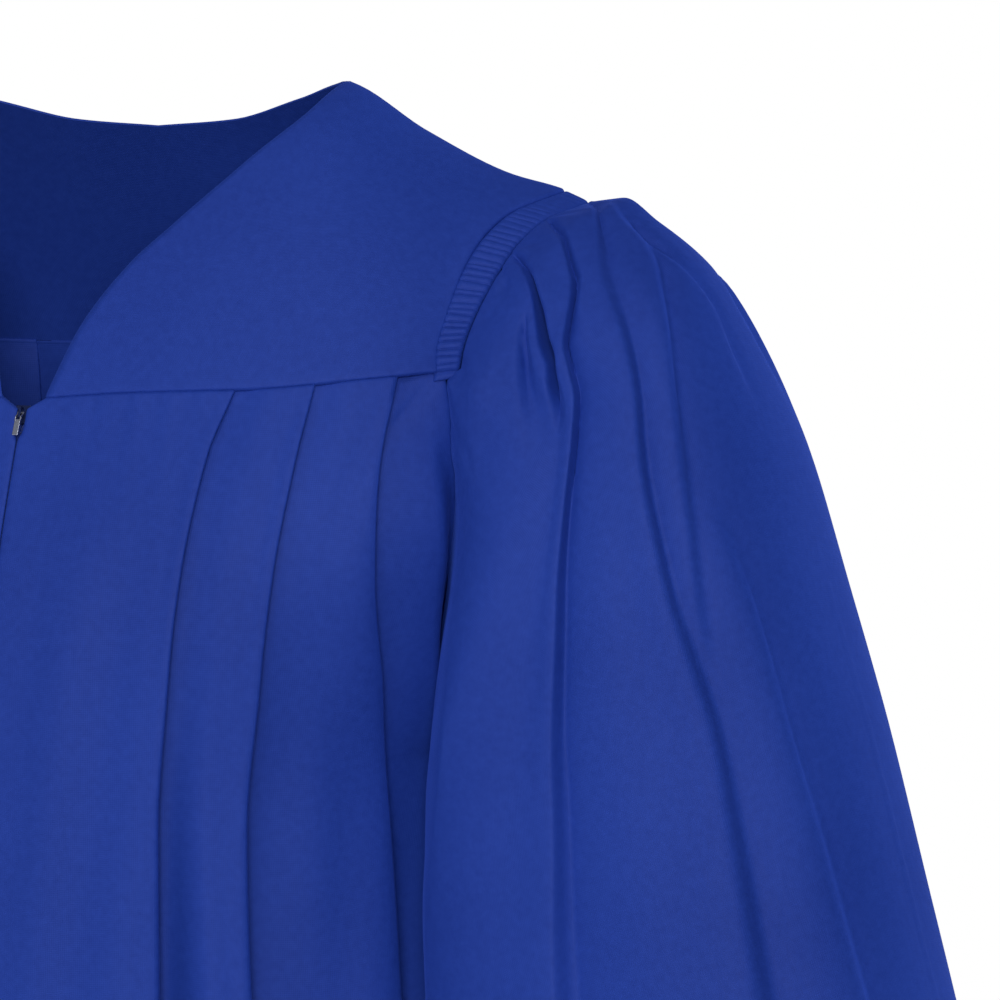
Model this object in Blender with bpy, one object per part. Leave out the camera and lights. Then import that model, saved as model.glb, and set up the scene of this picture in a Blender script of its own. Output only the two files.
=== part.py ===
"""A graduation gown, filled out as when it is worn, with nobody in it.

Frame: +Z is up, the wearer faces -Y and the wearer's left is +X. The origin is
the middle of the neck, level with the side neck points where the shoulders
carry the gown. A drop is a distance below that level. Tables are in
millimetres and degrees; meshes are made in metres.

Each cut piece of cloth is one wall with a seam gap round it: two front yokes, a
back yoke, two fronts, a back, two fluted armhole bands and two sleeves. The zip
is two tapes, a slider and a pull tab that swings on the slider.
"""

import math

import bmesh
import bpy
import numpy as np

MM = 0.001

# Driving sizes
CLOTH = 1.2                 # thickness of every cloth wall
SEAM = 0.3                  # from a seam line to the middle edge of each piece
RIDGE_EASE = 0.4            # the same at the shoulder seams
TOP_EASE = 0.8              # from the yokes' lower edges down to the fronts and the back
PAST_RIDGE = 0.04           # how far past the ridge a yoke is drawn to find its slope
ARMHOLE_EASE = 1.8          # from the armhole line to the sleeve's edge on the body
UNDERARM_EASE = 1.2         # how much further out that edge lies under the arm
BAND_EASE = 1.1             # from the band's outer edge to the sleeve's edge
HEM_DROP = 1300
UNDERARM_DROP = 286.5
ZIP_FOOT_DROP = 1100

# Neck
SIDE_NECK = 105             # half the width of the neck at the shoulders
YOKE_POINT = 10             # half the distance between the two front yokes' points
V_FOOT_DROP = 137.5
V_FOOT_HALF_GAP = 2.4

# Zip
TAPE = 1.0
TAPE_BEHIND = 0.65          # gap between a front and the tape behind it
TAPE_REACH = 13.0           # from the centre line to a tape's outer edge
SLIDER_DROP = 139
SLIDER_TILT = 23.2          # the chest's slope at the slider, off vertical
TOOTH_DEPTH = 3.37          # level distance back from the front to the tape at the slider

# Slider and pull, in distances down the chest and out of it from the slider's middle
PLATE_TOP = -4.0
PLATE_FOOT = 4.4
PLATE_HALF_WIDTH = 3.4
PLATE_THICKNESS = 1.2
FRONT_PLATE_FACE = -1.0
BACK_PLATE_FACE = -4.0
POST_TOP = -3.8
POST_FOOT = -2.2
POST_HALF_WIDTH = 0.9
SINK = 0.6                  # how far a post or the staple runs into a plate
STAPLE_REACH = 2.7          # half the staple's length
STAPLE_WIRE = 0.9
STAPLE_TOP = 2.0
STAPLE_BRIDGE = 0.8
STAPLE_HALF_WIDTH = 0.5
PULL_PIN_OUT = 0.25
PIN_HALF = 0.38             # half the pin's thickness
PIN_HALF_LENGTH = 1.2
ARM_HALF = 0.45
ARM_HALF_WIDTH = 0.275
ARM_ACROSS = 1.125
ARM_FOOT = 4.6
BLADE_HALF = 0.42
BLADE_HALF_WIDTH = 1.3
BLADE_TOP = 3.6
BLADE_FOOT = 10.8
PULL_LIFT = 1.55            # how far the arms step out, over PULL_LIFT_RUN, past the plate
PULL_LIFT_RUN = 2.6
PULL_REST_TILT = 3

FLUTES = 66                 # ribs gathered into each armhole band
FLUTE_HEIGHT = 0.9
BAND_ENDS = 0.985           # how far over the shoulder the bands run, as "over" below

FRONT_SLANT = 13.0          # from the centre line to where a front's slanted corner ends


def slopes(x, y):
    """Slopes of a curve through the points that never overshoots them."""
    step = np.diff(x)
    rise = np.diff(y) / step
    slope = np.zeros(len(x))
    slope[0] = rise[0]
    slope[-1] = rise[-1]
    for i in range(1, len(x) - 1):
        if rise[i - 1] * rise[i] > 0:
            before = 2 * step[i] + step[i - 1]
            after = step[i] + 2 * step[i - 1]
            slope[i] = (before + after) / (before / rise[i - 1] + after / rise[i])
    return slope


def smooth(x, y, where):
    """Read a smooth curve through (x, y), held level past its ends."""
    where = np.clip(np.asarray(where, float), x[0], x[-1])
    slope = slopes(x, y)
    i = np.clip(np.searchsorted(x, where) - 1, 0, len(x) - 2)
    step = x[i + 1] - x[i]
    t = (where - x[i]) / step
    ends = (2 * t**3 - 3 * t**2 + 1) * y[i] + (3 * t**2 - 2 * t**3) * y[i + 1]
    bends = (t**3 - 2 * t**2 + t) * slope[i] + (t**3 - t**2) * slope[i + 1]
    return ends + step * bends


def ease(t):
    """0 to 1 with level ends."""
    t = np.clip(t, 0, 1)
    return t * t * (3 - 2 * t)


class Table:
    """Rows under named columns, read between the rows along the first column."""

    def __init__(self, columns, *rows):
        self.columns = columns.split()
        self.rows = np.array(rows, float)

    def at(self, column, where):
        values = self.rows[:, self.columns.index(column)]
        return smooth(self.rows[:, 0], values, where)


# Level sections of the body: half ovals in front and behind, sharing their width
BODY = Table(
    "drop half_width front back squareness",
    (95, 206, 88, 90, 2.5),
    (130, 200, 103, 98, 2.5),
    (165, 190, 118, 104, 2.5),
    (200, 177, 131, 108, 2.4),
    (240, 163, 139, 111, 2.3),
    (290, 153, 142, 113, 2.2),
    (400, 160, 143, 118, 2.1),
    (550, 184, 150, 132, 2.0),
    (750, 222, 170, 158, 2.0),
    (1000, 270, 202, 196, 2.0),
    (1300, 328, 244, 242, 2.0),
)

# The shoulders' ridge, and the seams where the yokes end in front and behind
SHOULDER = Table(
    "across ridge_drop ridge_back front_seam_drop back_seam_drop",
    (0, -10, 0, 133, 118),
    (45, -9, 0, 129.5, 118),
    (105, 0, 1, 127, 117),
    (140, 21, 3, 123.5, 116),
    (178, 39.5, 5, 119.5, 115),
    (200, 45.5, 6, 117, 115),
    (212, 50.5, 6, 116, 115),
    (232, 60, 7, 114, 115),
)

# "over" runs over the shoulder: -1 front seam, 0 ridge, 1 back seam
NECK_EDGE = Table(
    "over across",
    (-1, YOKE_POINT),
    (-0.93, 14),
    (-0.84, 20),
    (-0.69, 37),
    (-0.59, 53),
    (-0.43, 75),
    (-0.2, 97),
    (0, SIDE_NECK),
)
YOKE_EDGE = Table(
    "over across band_width",
    (-1, 170.5, 8),
    (-0.9, 169.5, 9.5),
    (-0.78, 170.8, 10.5),
    (-0.6, 173.5, 13),
    (-0.46, 177, 14),
    (-0.36, 181, 14.5),
    (-0.27, 186, 14),
    (-0.2, 191.5, 13),
    (-0.1, 198, 11.5),
    (0, 201.5, 10.5),
    (0.15, 200, 12),
    (0.35, 191.5, 14),
    (0.6, 181.5, 14),
    (0.8, 174.5, 11),
    (1, 170, 8),
)
BACK_NECK = Table("across over", (0, 0.34), (40, 0.31), (75, 0.2), (95, 0.08), (SIDE_NECK, 0))

# Depth of the armhole's edge in front of and behind the shoulder, down its sides
ARMHOLE = Table(
    "drop front back",
    (118, 64, 62),
    (150, 63, 63),
    (168, 59, 60),
    (200, 50, 52),
    (230, 41, 43),
    (255, 31, 32),
    (272, 20, 21),
    (282, 9, 9),
    (UNDERARM_DROP, 0, 0),
)

# Knife pleats: how far round from the centre line each fold's edge lies, how far
# the cloth turns at the fold, the radius it turns on and how deep it goes under
FRONT_PLEATS = Table(
    "drop fold_1 fold_2 fold_3 turn radius depth",
    (119, 92.5, 126, 160.5, 180, 1.0, 14),
    (160, 84.5, 122, 157.5, 180, 1.0, 14),
    (205, 80, 118, 160.5, 178, 1.1, 14),
    (255, 76.5, 114.5, 171, 172, 1.3, 14),
    (310, 73, 110, 177, 165, 1.7, 14),
    (450, 74, 116, 186, 145, 3.0, 14),
    (700, 84, 140, 222, 118, 5.5, 14),
    (1000, 102, 172, 276, 95, 8.0, 14),
    (HEM_DROP, 122, 206, 330, 80, 10.0, 14),
)
BACK_PLEATS = Table(
    "drop fold_1 fold_2 fold_3 turn radius depth",
    (115, 56, 98, 140, 180, 1.0, 14),
    (205, 56, 100, 146, 178, 1.1, 14),
    (310, 58, 104, 152, 165, 1.7, 14),
    (450, 64, 114, 168, 145, 3.0, 14),
    (700, 80, 144, 212, 118, 5.5, 14),
    (1000, 100, 184, 272, 95, 8.0, 14),
    (HEM_DROP, 122, 226, 330, 80, 10.0, 14),
)
RISE_AFTER = 2              # how far past a fold the next panel starts to rise
FLAT_BEFORE = 4             # the least length over which a panel lies flat before a fold
BODY_DROPS = (150, 180, 215, 245, 268, 281, 288, 345, 440, 580, 740, 920, 1100, HEM_DROP)

# Half width of the gap between the fronts, where the zip shows
FRONT_OPENING = Table(
    "drop half_gap",
    (V_FOOT_DROP, V_FOOT_HALF_GAP),
    (142.5, 2.1),
    (148, 0.9),
    (153, 0.5),
    (HEM_DROP, 0.5),
)

# Slanted sections of the sleeve, from the armhole to the cuff: its outermost and
# innermost points, half its depth from front to back, and how far back it sits
SLEEVE = Table(
    "section outer_across outer_drop inner_across inner_drop half_depth back squareness",
    (0, 219, 47, 155, 288, 66, 0, 2.2),
    (1, 234, 46, 155, 296, 70, -1, 2.2),
    (2, 247, 56.5, 155, 304, 73, -2, 2.2),
    (3, 264.5, 74, 155, 312, 76, -3, 2.2),
    (4, 283.5, 106, 155, 323, 79, -4, 2.3),
    (5, 304, 148, 155, 338, 82, -5, 2.3),
    (6, 321, 203, 155, 360, 84, -6, 2.4),
    (7, 341, 268, 156, 395, 86, -7, 2.4),
    (8, 363, 350, 163, 450, 90, -8, 2.4),
    (9, 388, 443, 175, 515, 95, -8, 2.3),
    (10, 413, 535, 189, 580, 100, -8, 2.2),
    (11, 441, 640, 206, 642, 106, -8, 2.2),
)
SLEEVE_STEPS = (0, 0.35, 1, 2, 3, 4, 5, 6, 7, 8, 9, 10, 11)
SLEEVE_SKEW = 8             # the front of the sleeve hangs this much nearer the body
SLEEVE_CLEARANCE = 4        # from the body's surface to the sleeve's
HEAD_BLEND = 4              # sections over which the armhole's shape fades out

# Hollows down the sleeve. "around" is the part of the way round from the outside,
# through the front; each hollow runs through three such places
SLEEVE_HOLLOWS = Table(
    "hollow first around_first middle around_middle last around_last half_width depth",
    (1, 0.9, 0.095, 4.6, 0.200, 11, 0.310, 24, 11),
    (2, 1.2, 0.015, 5.4, 0.125, 11, 0.165, 24, 9),
    (3, 5.0, 0.080, 7.0, 0.071, 11, 0.050, 22, 8),
    (4, 6.0, 0.400, 8.5, 0.400, 11, 0.420, 24, 7),
    (5, 0.9, 0.910, 4.6, 0.830, 11, 0.700, 24, 10),
    (6, 1.6, 0.970, 5.4, 0.910, 11, 0.840, 24, 9),
    (7, 5.5, 0.950, 7.5, 0.955, 11, 0.960, 22, 7),
)

LEFT = 1
RIGHT = -1
SIDES = {"left": LEFT, "right": RIGHT}
FRONT = -1
BACK = 1


# The body's surface

def half_depth(side, drop):
    return BODY.at("front" if side == FRONT else "back", drop)


def body_at(side, drop, bearing):
    """Point of the level section seen from its middle at a bearing off straight ahead."""
    power = BODY.at("squareness", drop)
    width = abs(math.sin(bearing)) / BODY.at("half_width", drop)
    depth = abs(math.cos(bearing)) / half_depth(side, drop)
    reach = (width**power + depth**power) ** (-1 / power)
    return np.array([reach * math.sin(bearing), side * reach * math.cos(bearing), -drop])


class Section:
    """One level section of the body, measured round from its centre line."""

    def __init__(self, side, drop):
        self.side = side
        self.drop = drop
        self.bearings = np.linspace(-0.3, math.pi / 2 + 0.2, 140)
        points = np.array([body_at(side, drop, bearing) for bearing in self.bearings])
        runs = np.linalg.norm(np.diff(points, axis=0), axis=1)
        lengths = np.concatenate([[0], np.cumsum(runs)])
        self.lengths = lengths - np.interp(0, self.bearings, lengths)
        self.whole = float(np.interp(math.pi / 2, self.bearings, self.lengths))

    def point(self, length):
        bearing = float(np.interp(length, self.lengths, self.bearings))
        return body_at(self.side, self.drop, bearing)

    def along(self, length):
        """Level direction in which the length grows."""
        step = self.point(length + 0.5) - self.point(length - 0.5)
        return step / np.linalg.norm(step)

    def length_at_depth(self, depth):
        power = BODY.at("squareness", self.drop)
        part = depth / half_depth(self.side, self.drop)
        across = BODY.at("half_width", self.drop) * (1 - part**power) ** (1 / power)
        return float(np.interp(math.atan2(across, depth), self.bearings, self.lengths))


def outward(side, along):
    """Level direction out of the body, square to the section's own direction."""
    return np.array([-side * along[1], side * along[0], 0.0])


def armhole_length(section):
    """Where the armhole or, below it, the side seam cuts a section."""
    if section.drop >= UNDERARM_DROP:
        return section.whole
    column = "front" if section.side == FRONT else "back"
    return section.length_at_depth(float(ARMHOLE.at(column, section.drop)))


# The shoulders' surface

TIP_ACROSS = 168            # past here the seam's depth shrinks slowly, under the sleeve
TIP_DEPTH = 66
TIP_TAPER = 0.45
RIDGE_HANDLE = (0.42, 0.12)     # level and down, as parts of the ridge's run and fall
SEAM_HANDLE = (0.168, 0.40)     # level and up, as parts of the fall


def section_depth(across, drop, side):
    power = BODY.at("squareness", drop)
    part = min(abs(across) / BODY.at("half_width", drop), 1)
    return side * half_depth(side, drop) * (1 - part**power) ** (1 / power)


def shoulder_at(across, over):
    """Point over the shoulder: over is -1 on the front seam, 0 on the ridge, 1 behind."""
    side = FRONT if over < 0 else BACK
    column = "front_seam_drop" if side == FRONT else "back_seam_drop"
    away = abs(across)
    drop = float(SHOULDER.at(column, away))
    ridge = np.array([SHOULDER.at("ridge_back", away), -SHOULDER.at("ridge_drop", away)])
    past_edge = TIP_DEPTH - TIP_TAPER * max(away - TIP_ACROSS, 0)
    depth = abs(section_depth(away, drop, side))
    if away > TIP_ACROSS:
        depth = max(depth, past_edge)
    seam = np.array([side * depth, -drop])
    run = abs(seam[0] - ridge[0])
    fall = ridge[1] - seam[1]
    from_ridge = ridge + np.array([side * RIDGE_HANDLE[0] * run, -RIDGE_HANDLE[1] * fall])
    to_seam = seam + np.array([-side * SEAM_HANDLE[0] * fall, SEAM_HANDLE[1] * fall])
    t = abs(over)
    bend = (1 - t) ** 3 * ridge + 3 * (1 - t) ** 2 * t * from_ridge
    bend = bend + 3 * (1 - t) * t * t * to_seam + t**3 * seam
    return np.array([across, bend[0], bend[1]])


# Walls of cloth

def grid_normals(middle, closed):
    """Unit normals of a grid of points, rows down and columns round."""
    down = np.gradient(middle, axis=0)
    if closed:
        round_it = np.roll(middle, -1, axis=1) - np.roll(middle, 1, axis=1)
    else:
        round_it = np.gradient(middle, axis=1)
    normal = np.cross(round_it, down)
    return normal / np.linalg.norm(normal, axis=2, keepdims=True)


def paint(thing, colour, roughness, metallic=0.0):
    """Give an object its own material; the colour is sRGB out of 255."""
    material = bpy.data.materials.new(thing.name)
    material.use_nodes = True
    shader = material.node_tree.nodes["Principled BSDF"]
    linear = [((c / 255 + 0.055) / 1.055) ** 2.4 if c > 10 else c / 255 / 12.92 for c in colour]
    shader.inputs["Base Color"].default_value = (*linear, 1)
    shader.inputs["Roughness"].default_value = roughness
    shader.inputs["Metallic"].default_value = metallic
    thing.data.materials.append(material)


def add_mesh(name, points, faces):
    mesh = bpy.data.meshes.new(name)
    mesh.from_pydata([tuple(point * MM) for point in points], [], faces)
    mesh.update()
    thing = bpy.data.objects.new(name, mesh)
    bpy.context.scene.collection.objects.link(thing)
    return thing


def wall(name, middle, normal, thickness=CLOTH, raised=0.0, closed=False):
    """A closed wall about a grid of middle points; raised lifts its outer points."""
    rows, columns = middle.shape[:2]
    outer = middle + normal * (thickness / 2 + np.asarray(raised))[..., None]
    inner = middle - normal * (thickness / 2)
    points = np.concatenate([outer.reshape(-1, 3), inner.reshape(-1, 3)])
    spans = columns if closed else columns - 1
    faces = []

    def quad(a, b, c, d):
        faces.extend([(a, b, c), (a, c, d)])

    def index(row, column, layer):
        return layer * rows * columns + row * columns + column % columns

    for row in range(rows - 1):
        for column in range(spans):
            after = (column + 1) % columns
            fall = np.linalg.norm(middle[row, column] - middle[row + 1, after])
            climb = np.linalg.norm(middle[row + 1, column] - middle[row, after])
            for layer in (0, 1):
                ring = [index(row, column, layer), index(row + 1, column, layer),
                        index(row + 1, column + 1, layer), index(row, column + 1, layer)]
                if fall > climb:
                    ring = ring[1:] + ring[:1]
                quad(*(ring[:1] + ring[:0:-1] if layer else ring))
    for column in range(spans):
        for row, step in ((0, 0), (rows - 1, 1)):
            edge = [index(row, column, 0), index(row, column + 1, 0)]
            back = [index(row, column + 1, 1), index(row, column, 1)]
            quad(*(reversed(edge + back) if step else edge + back))
    if not closed:
        for row in range(rows - 1):
            for column in (0, columns - 1):
                edge = [index(row + 1, column, 0), index(row, column, 0)]
                back = [index(row, column, 1), index(row + 1, column, 1)]
                quad(*(reversed(edge + back) if column else edge + back))
    corners = points[np.array(faces)]
    volume = np.einsum("ij,ij->", corners[:, 0], np.cross(corners[:, 1], corners[:, 2]))
    if volume < 0:
        faces = [face[::-1] for face in faces]
    thing = add_mesh(name, points, faces)
    thing.data.shade_smooth()
    thing.data.set_sharp_from_angle(angle=math.radians(50))
    return thing


def mirrored(middle, normal, hand):
    """The same grid on the wearer's left or right."""
    flip = np.array([hand, 1, 1])
    return middle * flip, normal * flip


# Fronts and back

def pleated_line(starts, folds, turn, radius, depth, end, panel_steps):
    """A level line of cloth with knife pleats, folded away from the centre.

    Gives how far round each point lies, how far out, and the way the cloth has
    turned there. A fold turns under, runs back, turns again and leaves on a
    lower level, from which the next panel rises clear of the foot of the fold
    after it.
    """
    heading = math.radians(turn)
    lead = radius * math.sin(min(heading, math.pi / 2))
    foot_reach = radius - 2 * radius * math.sin(heading) - depth * math.cos(heading)
    line = [(start, 0.0, 0.0) for start in starts]
    begin = starts[-1]
    level = 0.0
    for fold, steps in zip(list(folds) + [end + lead], panel_steps):
        last = fold - lead
        risen = last - max(foot_reach + CLOTH, FLAT_BEFORE) if level < 0 and fold < end else last
        intervals = steps if risen == last else steps - 1
        for step in range(0 if level < 0 else 1, steps):
            part = step / intervals
            line.append((begin + part * (risen - begin), level * (1 - ease(part)), 0.0))
        line.append((last, 0.0, 0.0))
        if fold > end:
            break
        for part in (0.5, 1):
            angle = heading * part
            line.append((last + radius * math.sin(angle), radius * (math.cos(angle) - 1), angle))
        foot_round = last + radius * math.sin(heading) + depth * math.cos(heading)
        foot_out = radius * (math.cos(heading) - 1) - depth * math.sin(heading)
        for part in (0, 0.5, 1):
            angle = heading * (1 - part)
            away = foot_round + radius * (math.sin(heading) - math.sin(angle))
            out = foot_out + radius * (math.cos(heading) - math.cos(angle))
            line.append((away, out, angle))
        level = line[-1][1]
        begin = max(fold, line[-1][0]) + RISE_AFTER
    return line


def pleated_grid(side, tops, drops, pleats, starts, panel_steps):
    """Half a body panel: rows down from its top seam, columns out from the centre.

    tops gives the top seam's drop at a distance across. starts gives the first
    places round from the centre line on a row.
    """
    top = float(pleats.rows[0, 0])
    middle = []
    heading_out = []
    for row, drop in enumerate((top,) + drops):
        at_centre = drop if row else tops(0)
        level_section = Section(side, drop)
        end = armhole_length(level_section) - SEAM
        folds = [float(pleats.at(name, drop)) for name in ("fold_1", "fold_2", "fold_3")]
        turn, radius, depth = (float(pleats.at(name, drop)) for name in ("turn", "radius", "depth"))
        line = pleated_line(starts(at_centre), folds, turn, radius, depth, end, panel_steps)
        points = []
        ways = []
        for away, out, angle in line:
            section = level_section
            if row == 0:
                across = level_section.point(away)[0]
                section = Section(side, float(tops(across)))
                if away == end:
                    away = armhole_length(section) - SEAM
            along = section.along(away)
            out_of_it = outward(side, along)
            points.append(section.point(away) + out_of_it * out)
            ways.append(out_of_it * math.cos(angle) + along * math.sin(angle))
        middle.append(points)
        heading_out.append(ways)
    middle = np.array(middle)
    normal = np.array(heading_out)
    down = np.gradient(middle, axis=0)
    down = down / np.linalg.norm(down, axis=2, keepdims=True)
    normal = normal - down * np.sum(normal * down, axis=2, keepdims=True)
    return middle, normal / np.linalg.norm(normal, axis=2, keepdims=True)


def front_top(across):
    """Drop of a front's top edge: the yoke seam, then down to the foot of the V."""
    corner = float(SHOULDER.at("front_seam_drop", YOKE_POINT)) + TOP_EASE
    if across >= YOKE_POINT:
        return float(SHOULDER.at("front_seam_drop", across)) + TOP_EASE
    part = (across - V_FOOT_HALF_GAP) / (YOKE_POINT - V_FOOT_HALF_GAP)
    return V_FOOT_DROP + max(part, 0) * (corner - V_FOOT_DROP)


def back_top(across):
    return float(SHOULDER.at("back_seam_drop", across)) + TOP_EASE


def front_starts(drop):
    """First places on a front's row: the edge by the zip, then past the V's slant."""
    edge = float(FRONT_OPENING.at("half_gap", drop))
    return [edge, YOKE_POINT if drop < BODY_DROPS[0] else FRONT_SLANT]


def back_starts(drop):
    return [0.0]


def make_front(name, hand):
    middle, normal = pleated_grid(
        FRONT, front_top, BODY_DROPS, FRONT_PLEATS, front_starts, (4, 3, 3, 4))
    return wall(name, *mirrored(middle, normal, hand))


def make_back():
    middle, normal = pleated_grid(
        BACK, back_top, BODY_DROPS, BACK_PLEATS, back_starts, (2, 3, 3, 3))
    right_middle, right_normal = mirrored(middle, normal, RIGHT)
    middle = np.concatenate([right_middle[:, :0:-1], middle], axis=1)
    normal = np.concatenate([right_normal[:, :0:-1], normal], axis=1)
    return wall("back", middle, normal)


# Yokes

def make_front_yoke(name, hand):
    middle = []
    for over in tuple(np.linspace(-1, 0, 12)) + (PAST_RIDGE,):
        inner = float(NECK_EDGE.at("across", over))
        outer = float(YOKE_EDGE.at("across", over)) - SEAM
        middle.append([shoulder_at(across, over) for across in np.linspace(inner, outer, 9)])
    middle = np.array(middle)
    normal = grid_normals(middle, False)[:-1]
    middle = middle[:-1]
    middle[-1, :, 1] -= RIDGE_EASE
    return wall(name, *mirrored(middle, normal, hand))


def make_back_yoke():
    """Columns run from the neck or the shoulder seam down to the back's seam."""
    head_edge = float(YOKE_EDGE.at("across", 0)) - SEAM
    half = []
    for part in np.linspace(0, 1, 13):
        start = float(BACK_NECK.at("over", part * head_edge))
        column = []
        for down in (-PAST_RIDGE,) + tuple(np.linspace(0, 1, 10)):
            over = start + (1 - start) * down
            edge = float(YOKE_EDGE.at("across", over)) - SEAM
            column.append(shoulder_at(part * edge, over))
        half.append(column)
    half = np.array(half).transpose(1, 0, 2)
    middle = np.concatenate([half[:, :0:-1] * np.array([-1, 1, 1]), half], axis=1)
    normal = -grid_normals(middle, False)[1:]
    middle = middle[1:]
    middle[0, :, 1] += RIDGE_EASE
    return wall("back_yoke", middle, normal)


# Fluted armhole bands

def band_line(offset, count):
    """Evenly spaced points along the band, at a part of its width from the yoke."""
    overs = np.linspace(-BAND_ENDS, BAND_ENDS, 300)
    points = []
    for over in overs:
        width = float(YOKE_EDGE.at("band_width", over))
        place = 2 * SEAM + offset * (width - 2 * SEAM)
        points.append(shoulder_at(float(YOKE_EDGE.at("across", over)) + place, over))
    points = np.array(points)
    lengths = np.concatenate([[0], np.cumsum(np.linalg.norm(np.diff(points, axis=0), axis=1))])
    places = np.linspace(0, lengths[-1], count)
    return np.stack([np.interp(places, lengths, points[:, i]) for i in range(3)], axis=1)


def make_fluting(name, hand):
    count = 2 * FLUTES + 1
    middle = np.array([band_line(0, count), band_line(1, count)])
    normal = grid_normals(middle, False)
    if normal[0, FLUTES, 2] < 0:
        normal = -normal
    ridge = np.arange(count) % 2 * FLUTE_HEIGHT
    return wall(name, *mirrored(middle, normal, hand), raised=np.array([ridge, ridge]))


# Sleeves

def armhole_ring():
    """The sleeve's top edge and how far round each of its points lies."""
    ring = []
    around = []
    for side, column in ((FRONT, "front"), (BACK, "back")):
        points = []
        for over in np.linspace(0, side, 9):
            place = YOKE_EDGE.at("across", over) + YOKE_EDGE.at("band_width", over) + BAND_EASE
            points.append(shoulder_at(float(place), over))
        for drop in (125, 145, 165, 180, 197, 215, 230, 245, 268, 281, UNDERARM_DROP - 1):
            section = Section(side, drop)
            edge = armhole_length(section)
            point = section.point(edge) + section.along(edge) * ARMHOLE_EASE
            points.append(point + np.array([UNDERARM_EASE * ease((drop - 240) / 40), 0, 0]))
        width = BODY.at("half_width", UNDERARM_DROP)
        points[-1] = np.array([width + 0.8 + ARMHOLE_EASE, 0, 1 - UNDERARM_DROP])
        points = np.array(points)
        lengths = np.concatenate([[0], np.cumsum(np.linalg.norm(np.diff(points, axis=0), axis=1))])
        part = 0.5 * lengths / lengths[-1]
        if side == FRONT:
            ring.extend(points)
            around.extend(part)
        else:
            ring.extend(points[-2:0:-1])
            around.extend(1 - part[-2:0:-1])
    return np.array(ring), np.array(around)


def sleeve_section(section, around):
    """Points of one slanted section at parts of the way round it."""
    outer = np.array([SLEEVE.at("outer_across", section), 0, -SLEEVE.at("outer_drop", section)])
    inner = np.array([SLEEVE.at("inner_across", section), 0, -SLEEVE.at("inner_drop", section)])
    power = 2 / SLEEVE.at("squareness", section)
    angle = np.linspace(0, 2 * math.pi, 241)
    out = np.sign(np.cos(angle)) * np.abs(np.cos(angle)) ** power
    ahead = np.sign(np.sin(angle)) * np.abs(np.sin(angle)) ** power
    points = (outer + inner) / 2 + np.outer(out, (outer - inner) / 2)
    points[:, 1] = SLEEVE.at("back", section) - SLEEVE.at("half_depth", section) * ahead
    points[:, 0] -= SLEEVE_SKEW * ahead
    lengths = np.concatenate([[0], np.cumsum(np.linalg.norm(np.diff(points, axis=0), axis=1))])
    places = around * lengths[-1]
    return np.stack([np.interp(places, lengths, points[:, i]) for i in range(3)], axis=1)


def clear_of_body(point, step):
    """Move a sleeve point outwards until it hangs clear of the body's side."""
    across, depth, height = point
    side = FRONT if depth < 0 else BACK
    clearance = SLEEVE_CLEARANCE * float(ease(0.4 + step))
    reach = half_depth(side, -height) + clearance
    if abs(depth) >= reach:
        return point
    power = BODY.at("squareness", -height)
    width = BODY.at("half_width", -height) + clearance
    limit = width * (1 - (abs(depth) / reach) ** power) ** (1 / power)
    softness = 1.5 + 4.5 * float(ease(step / 3))
    over = min((across - limit) / softness, 30)
    clear = limit + softness * math.log1p(math.exp(over))
    part = ease((-height - 200) / 25)
    return np.array([across + (max(clear, across) - across) * part, depth, height])


def sleeve_normals(middle):
    """Normals that point out of the sleeve, as its outermost point shows."""
    normal = grid_normals(middle, True)
    return normal if normal[6, 0, 0] > 0 else -normal


def sleeve_grid():
    ring, around = armhole_ring()
    first = sleeve_section(0, around)
    middle = []
    for step in SLEEVE_STEPS:
        points = sleeve_section(step, around) + (ring - first) * ease(1 - step / HEAD_BLEND)
        if step > 0:
            points = np.array([clear_of_body(point, step) for point in points])
        middle.append(points)
    middle = np.array(middle)
    normal = sleeve_normals(middle)
    girth = np.linalg.norm(np.roll(middle, -1, axis=1) - middle, axis=2).sum(axis=1)
    for row, step in enumerate(SLEEVE_STEPS):
        for hollow in SLEEVE_HOLLOWS.rows:
            named = dict(zip(SLEEVE_HOLLOWS.columns, hollow))
            if step <= named["first"]:
                continue
            stations = np.array([named["first"], named["middle"], named["last"]])
            places = np.array([named["around_first"], named["around_middle"], named["around_last"]])
            away = (around - smooth(stations, places, step) + 0.5) % 1 - 0.5
            shape = ease(1 - np.abs(away) * girth[row] / named["half_width"])
            deepening = ease((step - named["first"]) / 3)
            middle[row] -= normal[row] * (named["depth"] * deepening * shape)[:, None]
    return middle, sleeve_normals(middle)


def make_sleeve(name, hand):
    middle, normal = sleeve_grid()
    return wall(name, *mirrored(middle, normal, hand), closed=True)


# Zip

def make_tape(name, hand):
    """A tape behind one front's edge, drawn in behind the slider at its top."""
    edge = FRONT_OPENING.at("half_gap", ZIP_FOOT_DROP) - 0.15
    settled = CLOTH / 2 + TAPE / 2 + TAPE_BEHIND
    settled_drop = 160
    middle = []
    rows = BODY_DROPS[1:BODY_DROPS.index(ZIP_FOOT_DROP) + 1]
    for drop in (SLIDER_DROP - 0.6, 146, settled_drop) + rows:
        section = Section(FRONT, drop)
        back = settled + (TOOTH_DEPTH - settled) * float(ease((settled_drop - drop) / 14))
        line = []
        for away in (edge, TAPE_REACH):
            line.append(section.point(away) - outward(FRONT, section.along(away)) * back)
        middle.append(line)
    middle = np.array(middle)
    normal = grid_normals(middle, False)
    if normal[0, 0, 1] > 0:
        normal = -normal
    return wall(name, *mirrored(middle, normal, hand), thickness=TAPE)


def slider_frame():
    """Middle of the slider, and the chest's down and outward directions there."""
    tilt = math.radians(SLIDER_TILT)
    origin = body_at(FRONT, SLIDER_DROP, 0.0)
    down = np.array([0, -math.sin(tilt), -math.cos(tilt)])
    out = np.array([0, -math.cos(tilt), math.sin(tilt)])
    return origin, down, out


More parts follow.
